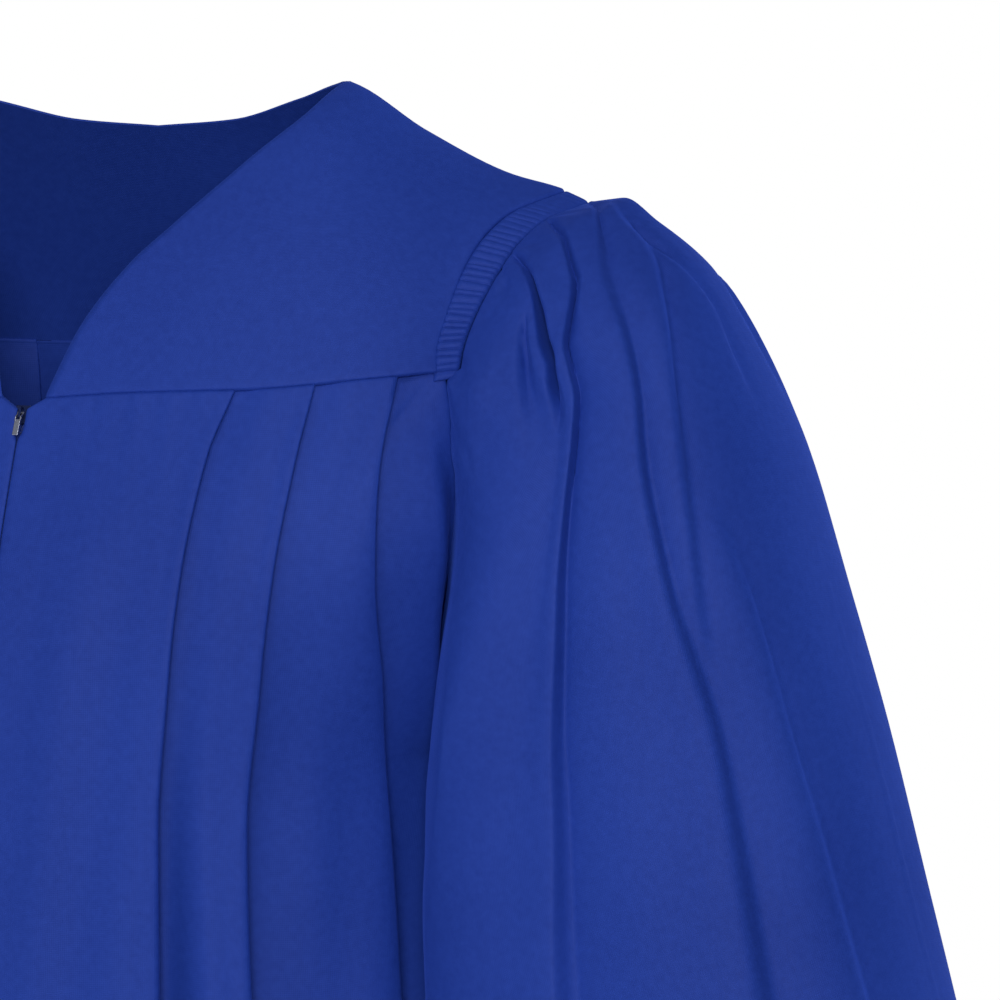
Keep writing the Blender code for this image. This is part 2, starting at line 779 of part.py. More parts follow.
def extruded(name, outline, half_width, across=0.0):
    """An outline of (down, out) places by the slider, as wide as stated."""
    origin, down, out = slider_frame()
    form = bmesh.new()
    corners = []
    for along_it, out_of_it in outline:
        place = origin + down * along_it + out * out_of_it + np.array([across - half_width, 0, 0])
        corners.append(form.verts.new(tuple(place * MM)))
    face = form.faces.new(corners)
    grown = bmesh.ops.extrude_face_region(form, geom=[face])
    tips = [item for item in grown["geom"] if isinstance(item, bmesh.types.BMVert)]
    bmesh.ops.translate(form, verts=tips, vec=(2 * half_width * MM, 0, 0))
    bmesh.ops.recalc_face_normals(form, faces=form.faces)
    mesh = bpy.data.meshes.new(name)
    form.to_mesh(mesh)
    form.free()
    thing = bpy.data.objects.new(name, mesh)
    bpy.context.scene.collection.objects.link(thing)
    return thing


def join(base, others):
    """Grow a base by other objects, which stay out of the part themselves."""
    for number, other in enumerate(others):
        union = base.modifiers.new("join_%d" % number, "BOOLEAN")
        union.operation = "UNION"
        union.solver = "EXACT"
        union.object = other
        other.hide_render = True
        other.display_type = "WIRE"
    return base


def make_slider():
    """Two plates on a post, with a staple on the front plate for the pull."""

    def plate(name, face):
        behind = face - PLATE_THICKNESS
        outline = [(PLATE_TOP, face), (PLATE_TOP, behind), (PLATE_FOOT, behind), (PLATE_FOOT, face)]
        return extruded(name, outline, PLATE_HALF_WIDTH)

    post_out = FRONT_PLATE_FACE - SINK
    post_in = BACK_PLATE_FACE - SINK
    post = [(POST_TOP, post_out), (POST_TOP, post_in), (POST_FOOT, post_in), (POST_FOOT, post_out)]
    leg = STAPLE_REACH - STAPLE_WIRE
    under = STAPLE_TOP - STAPLE_BRIDGE
    foot = FRONT_PLATE_FACE - SINK
    staple = [(-STAPLE_REACH, foot), (-leg, foot), (-leg, under), (leg, under), (leg, foot),
              (STAPLE_REACH, foot), (STAPLE_REACH, STAPLE_TOP), (-STAPLE_REACH, STAPLE_TOP)]
    slider = plate("zip_slider", FRONT_PLATE_FACE)
    parts = [
        plate("slider_plate_back", BACK_PLATE_FACE),
        extruded("slider_post", post, POST_HALF_WIDTH),
        extruded("slider_staple", staple, STAPLE_HALF_WIDTH),
    ]
    return join(slider, parts)


def make_pull():
    """A slim tab: a pin under the staple, two arms and a blade that hangs down."""
    tilt = math.radians(PULL_REST_TILT)

    def place(along_it, off_it):
        lifted = off_it + ease(along_it / PULL_LIFT_RUN) * PULL_LIFT
        down = along_it * math.cos(tilt) - lifted * math.sin(tilt)
        return down, PULL_PIN_OUT + along_it * math.sin(tilt) + lifted * math.cos(tilt)

    def strip(half, stations):
        return [place(s, -half) for s in stations] + [place(s, half) for s in reversed(stations)]

    arm_stations = (-ARM_HALF, ARM_HALF, 1.5, PULL_LIFT_RUN, ARM_FOOT)
    pull = extruded("zip_pull", strip(BLADE_HALF, (BLADE_TOP, BLADE_FOOT)), BLADE_HALF_WIDTH)
    parts = [extruded("pull_arm", strip(ARM_HALF, arm_stations), ARM_HALF_WIDTH, side * ARM_ACROSS)
             for side in (RIGHT, LEFT)]
    parts.append(extruded("pull_pin", strip(PIN_HALF, (-PIN_HALF, PIN_HALF)), PIN_HALF_LENGTH))
    return join(pull, parts)


def main():
    for thing in list(bpy.data.objects):
        bpy.data.objects.remove(thing)
    blue = (36, 58, 140)
    for word, hand in SIDES.items():
        paint(make_front_yoke("front_yoke_" + word, hand), (37, 60, 139), 0.75)
        paint(make_front("front_" + word, hand), blue, 0.75)
        paint(make_fluting("fluting_" + word, hand), (28, 43, 119), 0.75)
        paint(make_sleeve("sleeve_" + word, hand), (42, 65, 145), 0.75)
        paint(make_tape("zip_tape_" + word, hand), (30, 46, 120), 0.8)
    paint(make_back_yoke(), (34, 55, 134), 0.75)
    paint(make_back(), (34, 55, 137), 0.75)
    paint(make_slider(), (40, 50, 95), 0.4, 0.6)
    paint(make_pull(), (150, 155, 170), 0.35, 0.9)


main()
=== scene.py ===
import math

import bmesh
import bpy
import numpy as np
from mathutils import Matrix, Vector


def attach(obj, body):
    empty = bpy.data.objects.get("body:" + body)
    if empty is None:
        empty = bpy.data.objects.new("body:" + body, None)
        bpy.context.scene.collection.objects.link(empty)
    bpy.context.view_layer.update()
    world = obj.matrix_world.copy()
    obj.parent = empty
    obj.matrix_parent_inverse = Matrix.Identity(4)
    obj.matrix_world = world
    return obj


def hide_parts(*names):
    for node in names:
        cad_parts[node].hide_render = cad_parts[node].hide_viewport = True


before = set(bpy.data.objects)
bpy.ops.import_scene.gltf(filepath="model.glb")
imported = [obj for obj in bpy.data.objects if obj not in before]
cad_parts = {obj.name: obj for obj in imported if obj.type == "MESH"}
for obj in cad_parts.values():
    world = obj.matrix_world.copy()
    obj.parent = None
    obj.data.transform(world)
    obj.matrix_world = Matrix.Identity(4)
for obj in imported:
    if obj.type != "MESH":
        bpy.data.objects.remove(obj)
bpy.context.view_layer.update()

# A graduation gown, filled out as when it is worn, with nobody in it.
#
# +Z is up, the wearer faces -Y and the wearer's left is +X. The origin is the middle of
# the neck, level with the side neck points. A drop is a distance below that level.
# Tables are in millimetres and degrees; meshes are made in metres. Each cut piece of
# cloth is a grid laid on the gown's form, folded and creased, with its edges turned in
# at the seams.

MM = 0.001

# Driving sizes
SEAM = 0.3                  # from a seam line to a piece's edge
TOP_EASE = 0.8              # from the yokes' lower edges down to the fronts and the back
RIDGE_EASE = 0.4            # from the shoulder's ridge to the edge of each yoke
ARMHOLE_EASE = 1.8          # from an armhole's edge to the sleeve's, along the cloth
UNDERARM_EASE = 1.2         # how much further out the sleeve's edge is under the arm
BAND_EASE = 1.1             # from a fluted band's edge to the sleeve's
HEM_DROP = 1300
UNDERARM_DROP = 286.5
ZIP_FOOT_DROP = 1100
SIDE_NECK = 105
YOKE_POINT = 10             # from the centre line to the front yokes' lowest corners
V_FOOT_DROP = 137.5
V_FOOT_HALF_GAP = 2.4
FLUTES = 66                 # on each band
BAND_ENDS = 1.035           # where a band ends, as a place over the shoulder
PANEL_CLOTH = 0.7           # thickness of a single layer
YOKE_CLOTH = 1.1            # the yokes are faced, so two layers thick
TAPE_CLOTH = 0.5
HEM_TURN = 20               # how far the hem is turned up inside
CUFF_TURN = 16
HEM_GAP = 1.1               # between the middles of a hem's two layers

BODY_HEART = (0, 0, -700)   # a point within the body panels
YOKE_HEART = (0, 0, -300)   # and one within the yokes and bands

LEFT = 1
RIGHT = -1
HANDS = {"left": LEFT, "right": RIGHT}
FRONT = -1
BACK = 1


# Curves and tables

def slopes(x, y):
    """Slopes of a curve through the points that never overshoots them."""
    step = np.diff(x)
    rise = np.diff(y) / step
    slope = np.zeros(len(x))
    slope[0] = rise[0]
    slope[-1] = rise[-1]
    for i in range(1, len(x) - 1):
        if rise[i - 1] * rise[i] > 0:
            before = 2 * step[i] + step[i - 1]
            after = step[i] + 2 * step[i - 1]
            slope[i] = (before + after) / (before / rise[i - 1] + after / rise[i])
    return slope


def smooth(x, y, where):
    """Read a smooth curve through (x, y), held level past its ends."""
    where = np.clip(np.asarray(where, float), x[0], x[-1])
    slope = slopes(x, y)
    i = np.clip(np.searchsorted(x, where) - 1, 0, len(x) - 2)
    step = x[i + 1] - x[i]
    t = (where - x[i]) / step
    ends = (2 * t**3 - 3 * t**2 + 1) * y[i] + (3 * t**2 - 2 * t**3) * y[i + 1]
    bends = (t**3 - 2 * t**2 + t) * slope[i] + (t**3 - t**2) * slope[i + 1]
    return ends + step * bends


def ease(t):
    """0 to 1 with level ends."""
    t = np.clip(t, 0, 1)
    return t * t * (3 - 2 * t)


def run_along(points):
    """Lengths along a line of points."""
    return np.concatenate([[0], np.cumsum(np.linalg.norm(np.diff(points, axis=0), axis=1))])


def run_over(points, axis=0):
    """Lengths down each column of a grid of points, or along each row with axis 1."""
    first = points[:1] if axis == 0 else points[:, :1]
    return np.linalg.norm(np.diff(points, axis=axis, prepend=first), axis=2).cumsum(axis=axis)


def points_at(where, places, points):
    """Points of a line, read at places from 0 along it."""
    return np.stack([np.interp(where, places, points[:, i]) for i in range(3)], axis=1)


class Table:
    """Rows under named columns, read between the rows along the first column."""

    def __init__(self, columns, *rows):
        self.columns = columns.split()
        self.rows = np.array(rows, float)

    def at(self, column, where):
        return smooth(self.rows[:, 0], self.rows[:, self.columns.index(column)], where)


BODY = Table(
    "drop half_width front back squareness",
    (95, 206, 88, 90, 2.5),
    (130, 200, 103, 98, 2.5),
    (165, 190, 118, 104, 2.5),
    (200, 177, 131, 108, 2.4),
    (240, 163, 139, 111, 2.3),
    (290, 153, 142, 113, 2.2),
    (400, 160, 143, 118, 2.1),
    (550, 184, 150, 132, 2),
    (750, 222, 170, 158, 2),
    (1000, 270, 202, 196, 2),
    (1300, 328, 244, 242, 2),
)
SHOULDER = Table(
    "across ridge_drop ridge_back front_seam_drop back_seam_drop",
    (0, -10, 0, 133, 118),
    (45, -9, 0, 129.5, 118),
    (105, 0, 1, 127, 117),
    (140, 21, 3, 123.5, 116),
    (178, 39.5, 5, 119.5, 115),
    (200, 45.5, 6, 117, 115),
    (212, 50.5, 6, 116, 115),
    (232, 60, 7, 114, 115),
)
NECK_EDGE = Table(
    "over across",
    (-1, YOKE_POINT),
    (-0.93, 14),
    (-0.84, 20),
    (-0.69, 37),
    (-0.59, 53),
    (-0.43, 75),
    (-0.2, 97),
    (0, SIDE_NECK),
)
YOKE_EDGE = Table(
    "over across band_width",
    (-1, 170.5, 8),
    (-0.9, 169.5, 9.5),
    (-0.78, 170.8, 10.5),
    (-0.6, 173.5, 13),
    (-0.46, 177, 14),
    (-0.36, 181, 14.5),
    (-0.27, 186, 14),
    (-0.2, 191.5, 13),
    (-0.1, 198, 11.5),
    (0, 201.5, 10.5),
    (0.15, 200, 12),
    (0.35, 191.5, 14),
    (0.6, 181.5, 14),
    (0.8, 174.5, 11),
    (1, 170, 8),
)
BACK_NECK = Table("across over", (0, 0.34), (40, 0.31), (75, 0.2), (95, 0.08), (SIDE_NECK, 0))
ARMHOLE = Table(
    "drop front back",
    (118, 64, 62),
    (150, 63, 63),
    (168, 59, 60),
    (200, 50, 52),
    (230, 41, 43),
    (255, 31, 32),
    (272, 20, 21),
    (282, 9, 9),
    (UNDERARM_DROP, 0, 0),
)
# Where each pleat's fold lies, how far round it turns under in degrees, and how sharply
FRONT_PLEATS = Table(
    "drop fold_1 fold_2 fold_3 turn radius",
    (119, 92.5, 126, 160.5, 180, 0.6),
    (160, 84.5, 122, 157.5, 180, 0.6),
    (205, 80, 118, 160.5, 178, 0.8),
    (255, 76.5, 114.5, 171, 172, 1.1),
    (310, 73, 110, 177, 165, 1.6),
    (450, 74, 116, 186, 145, 3),
    (700, 84, 140, 222, 118, 5.5),
    (1000, 102, 172, 276, 95, 8),
    (HEM_DROP, 122, 206, 330, 80, 10),
)
BACK_PLEATS = Table(
    "drop fold_1 fold_2 fold_3 turn radius",
    (115, 56, 98, 140, 180, 0.15),
    (130, 56, 98.4, 141, 180, 0.6),
    (205, 56, 100, 146, 178, 0.8),
    (310, 58, 104, 152, 165, 1.6),
    (450, 64, 114, 168, 145, 3),
    (700, 80, 144, 212, 118, 5.5),
    (1000, 100, 184, 272, 95, 8),
    (HEM_DROP, 122, 226, 330, 80, 10),
)
FRONT_OPENING = Table(
    "drop half_gap",
    (V_FOOT_DROP, V_FOOT_HALF_GAP),
    (142.5, 2.1),
    (148, 0.9),
    (153, 0.5),
    (ZIP_FOOT_DROP - 20, 0.5),
    (ZIP_FOOT_DROP + 10, 0.15),
    (HEM_DROP, 0.15),
)
SLEEVE = Table(
    "section outer_across outer_drop inner_across inner_drop half_depth back squareness",
    (0, 219, 47, 155, 288, 66, 0, 2.2),
    (1, 234, 46, 155, 296, 70, -1, 2.2),
    (2, 247, 56.5, 155, 304, 73, -2, 2.2),
    (3, 264.5, 74, 155, 312, 76, -3, 2.2),
    (4, 283.5, 106, 155, 323, 79, -4, 2.3),
    (5, 304, 148, 155, 338, 82, -5, 2.3),
    (6, 321, 203, 155, 360, 84, -6, 2.4),
    (7, 341, 268, 156, 395, 86, -7, 2.4),
    (8, 363, 350, 163, 450, 90, -8, 2.4),
    (9, 388, 443, 175, 515, 95, -8, 2.3),
    (10, 413, 535, 189, 580, 100, -8, 2.2),
    (11, 441, 640, 206, 642, 106, -8, 2.2),
)
SLEEVE_END = 11
SLEEVE_SKEW = 8             # how far in a section's foremost point lies
SLEEVE_CLEARANCE = 4        # from the body's side
HEAD_BLEND = 4              # the section by which the armhole's shape has died out

# A fold runs down the sleeve through its rows. "around" is the part of the way round
# from the outside, through the front. The fold is a groove of this depth, as wide as
# "front" on its front side and "back" on the other; "cut" is 1 for a sharp groove and 0
# for a soft one. A lip is a rounded ridge along that side of it.
FOLD_COLUMNS = "section around depth front back cut front_lip back_lip"
HEAD_TUCK = Table(
    FOLD_COLUMNS,
    (0.02, 0.082, 1, 2, 2, 0.8, 0, 0.3),
    (0.4, 0.088, 3.5, 2.2, 2.4, 0.7, 0.2, 1),
    (1.21, 0.106, 9, 3, 3, 0.6, 0.3, 2.2),
    (1.57, 0.114, 14, 3.8, 3.4, 0.5, 0.2, 2.8),
    (1.79, 0.119, 18, 4.8, 3.8, 0.5, 0, 3),
    (2.19, 0.131, 16, 5, 3.8, 0.5, 0.2, 2.6),
    (2.47, 0.138, 13, 5.2, 4.2, 0.5, 0.4, 2.2),
    (2.7, 0.148, 9, 5.6, 4.6, 0.4, 0.4, 1.6),
    (2.9, 0.154, 4.5, 6, 5, 0.3, 0.3, 0.8),
    (3.2, 0.164, 0, 6, 6, 0, 0, 0),
)
HEAD_TUCK_BRANCH = Table(
    FOLD_COLUMNS,
    (1.5, 0.13, 1, 3, 3, 0.3, 0, 0),
    (1.65, 0.138, 5, 4, 4, 0.4, 0.3, 0.4),
    (1.89, 0.148, 6, 6, 5, 0.4, 0.4, 0.6),
    (2.2, 0.16, 4.5, 8, 7, 0.2, 0.4, 0.4),
    (2.6, 0.17, 2.4, 11, 10, 0, 0.3, 0.2),
    (3.2, 0.18, 0, 14, 12, 0, 0, 0),
)
HEAD_FOLD = Table(
    FOLD_COLUMNS,
    (0.02, 0.043, 1, 2, 2, 0.9, 0, 0.3),
    (0.22, 0.045, 2.4, 2.2, 2, 0.9, 0.3, 0.5),
    (0.66, 0.055, 3.2, 2.4, 2.4, 0.8, 0.6, 0.6),
    (1.29, 0.068, 4.2, 2.8, 2.6, 0.7, 0.9, 0.6),
    (1.71, 0.078, 4.8, 3.2, 2.8, 0.7, 1.2, 0.6),
    (2.09, 0.089, 5, 3.4, 3.2, 0.6, 1.5, 0.5),
    (2.35, 0.111, 4.6, 3.2, 5, 0.5, 1.6, 0.3),
    (2.5, 0.122, 4.4, 3.2, 7, 0.4, 2, 0.2),
    (2.8, 0.132, 4.2, 3.4, 12, 0.3, 2.4, 0),
    (3.2, 0.143, 4.2, 3.8, 18, 0.2, 2.4, 0),
    (3.45, 0.158, 4.2, 4.2, 22, 0.1, 2.4, 0),
    (3.9, 0.183, 4.2, 4.8, 26, 0, 2.2, 0),
    (4.7, 0.215, 4.4, 6.2, 30, 0, 2.2, 0),
    (5.7, 0.239, 4.4, 7, 30, 0, 2.2, 0),
    (6.5, 0.251, 4.8, 7.6, 34, 0, 2.2, 0),
    (7.2, 0.262, 5.4, 9.5, 40, 0, 2.2, 0),
    (11, 0.31, 9, 18, 64, 0, 2.4, 0),
)
HEAD_CREASE = Table(
    FOLD_COLUMNS,
    (0.9, 0.01, 0, 4, 10, 0, 0, 0),
    (1.51, 0.017, 1.2, 5, 10, 0.1, 0.3, 0),
    (2.2, 0.024, 2, 5.5, 11, 0.1, 0.5, 0),
    (2.89, 0.035, 2.8, 5.5, 13, 0.1, 0.8, 0),
    (3.2, 0.046, 3, 5.2, 15, 0.1, 1.2, 0),
    (3.6, 0.06, 3, 4.6, 18, 0.1, 1.7, 0),
    (4.1, 0.077, 2.8, 4.4, 22, 0, 1.6, 0),
    (5, 0.102, 2, 4.8, 24, 0, 1.2, 0),
    (5.8, 0.115, 1.6, 6, 24, 0, 1, 0),
    (6.3, 0.12, 0, 7, 24, 0, 0, 0),
)
CREST_CREASE = Table(
    FOLD_COLUMNS,
    (1.7, 0.016, 0, 3, 5, 0, 0, 0),
    (2.4, 0.023, 2, 3.5, 6, 0.2, 1, 0),
    (3, 0.02, 1.4, 4, 7, 0.1, 0.8, 0),
    (3.7, 0.014, 1.6, 4, 8, 0, 1, 0),
    (4.1, 0.018, 1.6, 4.5, 9, 0, 1, 0),
    (4.8, 0.022, 0, 6, 10, 0, 0, 0),
)
ARM_CREASE = Table(
    FOLD_COLUMNS,
    (0.02, 0.004, 0.8, 2.5, 4, 0.8, 0, 0),
    (0.5, 0.013, 1.6, 2.6, 5, 0.7, 0.4, 0),
    (1.19, 0.031, 2.4, 3.2, 7, 0.5, 0.7, 0),
    (1.6, 0.041, 2.2, 3.8, 8, 0.4, 0.8, 0),
    (1.9, 0.048, 1.9, 4.2, 9, 0.2, 0.9, 0),
    (2.3, 0.063, 1.6, 4.6, 11, 0.1, 0.9, 0),
    (2.8, 0.077, 1.6, 4.8, 12, 0.1, 1.1, 0),
    (3.3, 0.089, 2.1, 4.8, 14, 0.1, 1.5, 0),
    (3.9, 0.104, 2.8, 4.8, 16, 0, 1.9, 0),
    (4.3, 0.117, 3.2, 4.8, 16, 0, 2.1, 0),
    (4.75, 0.128, 3.6, 5, 18, 0, 2.3, 0),
    (5.6, 0.135, 3.6, 5.4, 24, 0, 2.1, 0),
    (6.05, 0.132, 3.4, 5.8, 28, 0, 2.1, 0),
    (6.6, 0.128, 3.8, 6.2, 34, 0, 2.1, 0),
    (7.2, 0.13, 4.4, 8, 40, 0, 2.1, 0),
    (11, 0.16, 8, 17, 60, 0, 2.2, 0),
)
OUTER_CREASE = Table(
    FOLD_COLUMNS,
    (5.2, 0.084, 0, 8, 28, 0, 0, 0),
    (5.6, 0.081, 1.4, 7, 28, 0, 0.9, 0),
    (6.1, 0.078, 2.2, 5.6, 28, 0, 1.4, 0),
    (6.8, 0.078, 2.6, 6, 30, 0, 1.6, 0),
    (7.4, 0.073, 3.2, 8, 34, 0, 1.8, 0),
    (11, 0.05, 7, 16, 50, 0, 2, 0),
)
INNER_CREASE = Table(
    FOLD_COLUMNS,
    (6, 0.44, 0, 20, 24, 0, 0, 0),
    (8.5, 0.44, 5, 22, 26, 0, 0.6, 0),
    (11, 0.45, 7, 24, 28, 0, 0.8, 0),
)
# How far forward the sleeve's edge beside the body stands, from the long fold to that edge
EDGE_FULLNESS = Table(
    "section fold ridge out",
    (0, 0.15, 0.26, 0),
    (0.15, 0.15, 0.26, 3.5),
    (0.45, 0.15, 0.27, 8),
    (1, 0.15, 0.29, 11),
    (2, 0.15, 0.32, 13),
    (3, 0.15, 0.335, 14.5),
    (3.9, 0.183, 0.35, 15),
    (4.9, 0.22, 0.375, 15),
    (6, 0.245, 0.395, 14),
    (7.5, 0.27, 0.41, 12),
    (11, 0.31, 0.42, 6),
)
EDGE_FALL = 0.07            # the part of the way round in which that fullness ends
CORNER_PUCKERS = (
    Table(FOLD_COLUMNS,
          (0.02, 0.097, 2, 1.8, 1.8, 0.6, 0.4, 0),
          (0.34, 0.108, 2.2, 1.8, 2.2, 0.5, 0.6, 0),
          (0.7, 0.118, 0, 2.5, 3, 0, 0, 0)),
    Table(FOLD_COLUMNS,
          (0.02, 0.176, 1.6, 2.5, 2.5, 0.5, 0.3, 0.3),
          (0.5, 0.19, 1.2, 3.5, 3.5, 0.2, 0.2, 0.2),
          (1.1, 0.2, 0, 5, 5, 0, 0, 0)),
    Table(FOLD_COLUMNS,
          (0.02, 0.225, 1, 3, 3, 0.4, 0.2, 0.2),
          (0.8, 0.232, 0.8, 4, 4, 0.2, 0.2, 0.2),
          (1.6, 0.24, 0, 6, 6, 0, 0, 0)),
)
PRESS_LINE = Table(
    FOLD_COLUMNS,
    (5.6, 0.001, 0, 2, 2, 0, 0, 0),
    (6.3, 0.001, -0.4, 2.2, 2.2, 1, 0, 0),
    (11, 0.004, -0.6, 2.2, 2.2, 1, 0, 0),
)
POCKETS = (HEAD_TUCK, HEAD_TUCK_BRANCH) + CORNER_PUCKERS
SLEEVE_FOLDS = POCKETS + (HEAD_FOLD, HEAD_CREASE, CREST_CREASE, ARM_CREASE, OUTER_CREASE,
                          INNER_CREASE)
FOLD_STEPS = 40
FOLD_ROLL = 0.6             # how far a lip leans over its groove, as a part of its height
# Where the sleeve's columns run, so that they follow its main folds
FOLD_LINES = Table(
    "section crease fold tuck edge",
    (0, 0.006, 0.043, 0.082, 0.098),
    (0.4, 0.01, 0.049, 0.088, 0.104),
    (1.21, 0.019, 0.066, 0.106, 0.122),
    (1.71, 0.025, 0.078, 0.117, 0.136),
    (2.09, 0.031, 0.089, 0.128, 0.15),
    (2.35, 0.035, 0.108, 0.136, 0.16),
    (2.5, 0.037, 0.118, 0.141, 0.166),
    (2.8, 0.042, 0.131, 0.152, 0.178),
    (3.2, 0.053, 0.143, 0.168, 0.192),
    (3.9, 0.076, 0.183, 0.205, 0.225),
    (4.7, 0.084, 0.215, 0.24, 0.262),
    (5.7, 0.081, 0.239, 0.265, 0.288),
    (6.5, 0.078, 0.251, 0.278, 0.302),
    (7.2, 0.074, 0.262, 0.29, 0.315),
    (11, 0.05, 0.31, 0.34, 0.37),
)
FOLD_LINE_NAMES = ("crease", "fold", "tuck", "edge")
BACK_COLUMNS = (36, 6, 14, 28)          # from the underarm up the back to each fold line
TOP_COLUMNS = (42,)                     # over the top, between the first lines
FRONT_COLUMNS = (50, 26, 14, 64)        # down the front from line to line, and to the underarm


# The body's surface

def half_depth(side, drop):
    return BODY.at("front" if side == FRONT else "back", drop)


def body_at(side, drop, bearing):
    """Points of level sections, at bearings off straight ahead or straight behind."""
    power = BODY.at("squareness", drop)
    width = np.abs(np.sin(bearing)) / BODY.at("half_width", drop)
    depth = np.abs(np.cos(bearing)) / half_depth(side, drop)
    reach = (width**power + depth**power) ** (-1 / power)
    return np.stack([reach * np.sin(bearing), side * reach * np.cos(bearing),
                     np.broadcast_to(-np.asarray(drop, float), np.shape(reach))], axis=-1)


class Chart:
    """One side of the body: where a length round a level section lies, and back again.

    Sections are closest together above the bust, and each reaches a little past the
    centre line and the side.
    """

    def __init__(self, side):
        self.side = side
        self.drops = np.concatenate([np.arange(100, 300, 2.5), np.arange(300, HEM_DROP + 1, 10.0)])
        self.bearings = np.linspace(-0.3, math.pi / 2 + 0.2, 320)
        points = body_at(side, self.drops[:, None], self.bearings[None, :])
        runs = np.linalg.norm(np.diff(points, axis=1), axis=2)
        lengths = np.concatenate([np.zeros((len(self.drops), 1)), np.cumsum(runs, axis=1)], axis=1)
        start = np.array([np.interp(0, self.bearings, row) for row in lengths])
        self.lengths = lengths - start[:, None]
        self.whole = np.array([np.interp(math.pi / 2, self.bearings, row) for row in self.lengths])

    def read(self, drop, x_rows, y_rows, where):
        """Read each drop's own curve at its places, between the two nearest drops."""
        drop = np.atleast_1d(np.asarray(drop, float))
        where = np.atleast_1d(np.asarray(where, float))
        drop, where = np.broadcast_arrays(drop, where)
        i = np.clip(np.searchsorted(self.drops, drop) - 1, 0, len(self.drops) - 2)
        part = (drop - self.drops[i]) / (self.drops[i + 1] - self.drops[i])
        out = np.empty(drop.shape)
        for row in np.unique(i):
            here = i == row
            low = np.interp(where[here], x_rows(row), y_rows(row))
            high = np.interp(where[here], x_rows(row + 1), y_rows(row + 1))
            out[here] = low + part[here] * (high - low)
        return out

    def bearing(self, drop, length):
        """The bearing at a length round a section."""
        return self.read(drop, lambda row: self.lengths[row], lambda row: self.bearings, length)

    def length_at_depth(self, drop, depth):
        """The length round a section at which it lies this far in front or behind."""
        power = BODY.at("squareness", drop)
        part = depth / half_depth(self.side, drop)
        across = BODY.at("half_width", drop) * (1 - part**power) ** (1 / power)
        bearing = np.arctan2(across, depth)
        return self.read(drop, lambda row: self.bearings, lambda row: self.lengths[row], bearing)

    def armhole(self, drop):
        """Where the armhole or, below it, the side seam cuts a section."""
        drop = np.atleast_1d(np.asarray(drop, float))
        column = "front" if self.side == FRONT else "back"
        whole = np.interp(drop, self.drops, self.whole)
        cut = self.length_at_depth(drop, ARMHOLE.at(column, drop))
        return np.where(drop >= UNDERARM_DROP, whole, cut)

    def point(self, drop, length):
        return body_at(self.side, drop, self.bearing(drop, length))

    def outward(self, drop, length):
        """Level unit ways straight out of the surface."""
        bearing = self.bearing(drop, length)
        nudge = 0.002
        step = body_at(self.side, drop, bearing + nudge) - body_at(self.side, drop, bearing - nudge)
        out = np.stack([-self.side * step[..., 1], self.side * step[..., 0],
                        np.zeros(step.shape[:-1])], axis=-1)
        return out / np.linalg.norm(out, axis=-1, keepdims=True)

    def along(self, drop, length):
        """Level unit ways along the surface, away from the centre line."""
        out = self.outward(drop, length)
        return np.stack([self.side * out[..., 1], -self.side * out[..., 0], out[..., 2]], axis=-1)


CHARTS = {FRONT: Chart(FRONT), BACK: Chart(BACK)}


# The shoulders' surface

TIP_ACROSS = 168            # past here the shoulder's tip keeps its depth, less a taper
TIP_DEPTH = 66
TIP_TAPER = 0.45
RIDGE_HANDLE = (0.42, 0.12)         # how far the curve runs straight from the ridge: out, down
SEAM_HANDLE = (0.168, 0.40)         # and straight into the seam: in, up


def shoulder_at(across, over):
    """Points over the shoulder: over is -1 on the front seam, 0 on the ridge, 1 behind."""
    across, over = np.broadcast_arrays(np.asarray(across, float), np.asarray(over, float))
    away = np.abs(across)
    side = np.where(over < 0, FRONT, BACK)
    ahead = over < 0
    drop = np.where(ahead, SHOULDER.at("front_seam_drop", away), SHOULDER.at("back_seam_drop", away))
    power = BODY.at("squareness", drop)
    part = np.minimum(away / BODY.at("half_width", drop), 1)
    body_depth = np.where(ahead, half_depth(FRONT, drop), half_depth(BACK, drop))
    depth = body_depth * (1 - part**power) ** (1 / power)
    past_edge = TIP_DEPTH - TIP_TAPER * np.maximum(away - TIP_ACROSS, 0)
    depth = np.where(away > TIP_ACROSS, np.maximum(depth, past_edge), depth)
    ridge_y = SHOULDER.at("ridge_back", away)
    ridge_z = -SHOULDER.at("ridge_drop", away)
    seam_y = side * depth
    seam_z = -drop
    run = np.abs(seam_y - ridge_y)
    fall = ridge_z - seam_z
    t = np.abs(over)
    weights = ((1 - t) ** 3, 3 * (1 - t) ** 2 * t, 3 * (1 - t) * t * t, t**3)
    y_handles = (ridge_y, ridge_y + side * RIDGE_HANDLE[0] * run,
                 seam_y - side * SEAM_HANDLE[0] * fall, seam_y)
    z_handles = (ridge_z, ridge_z - RIDGE_HANDLE[1] * fall, seam_z + SEAM_HANDLE[1] * fall, seam_z)
    y = sum(w * h for w, h in zip(weights, y_handles))
    z = sum(w * h for w, h in zip(weights, z_handles))
    return np.stack([across, y, z], axis=-1)


# The sleeve's surface

UNDERARM_FROM = 240         # the drop at which the sleeve's edge begins to move outwards
BODY_SIDE_FROM = 200        # the drop at which the sleeve begins to hang against the body


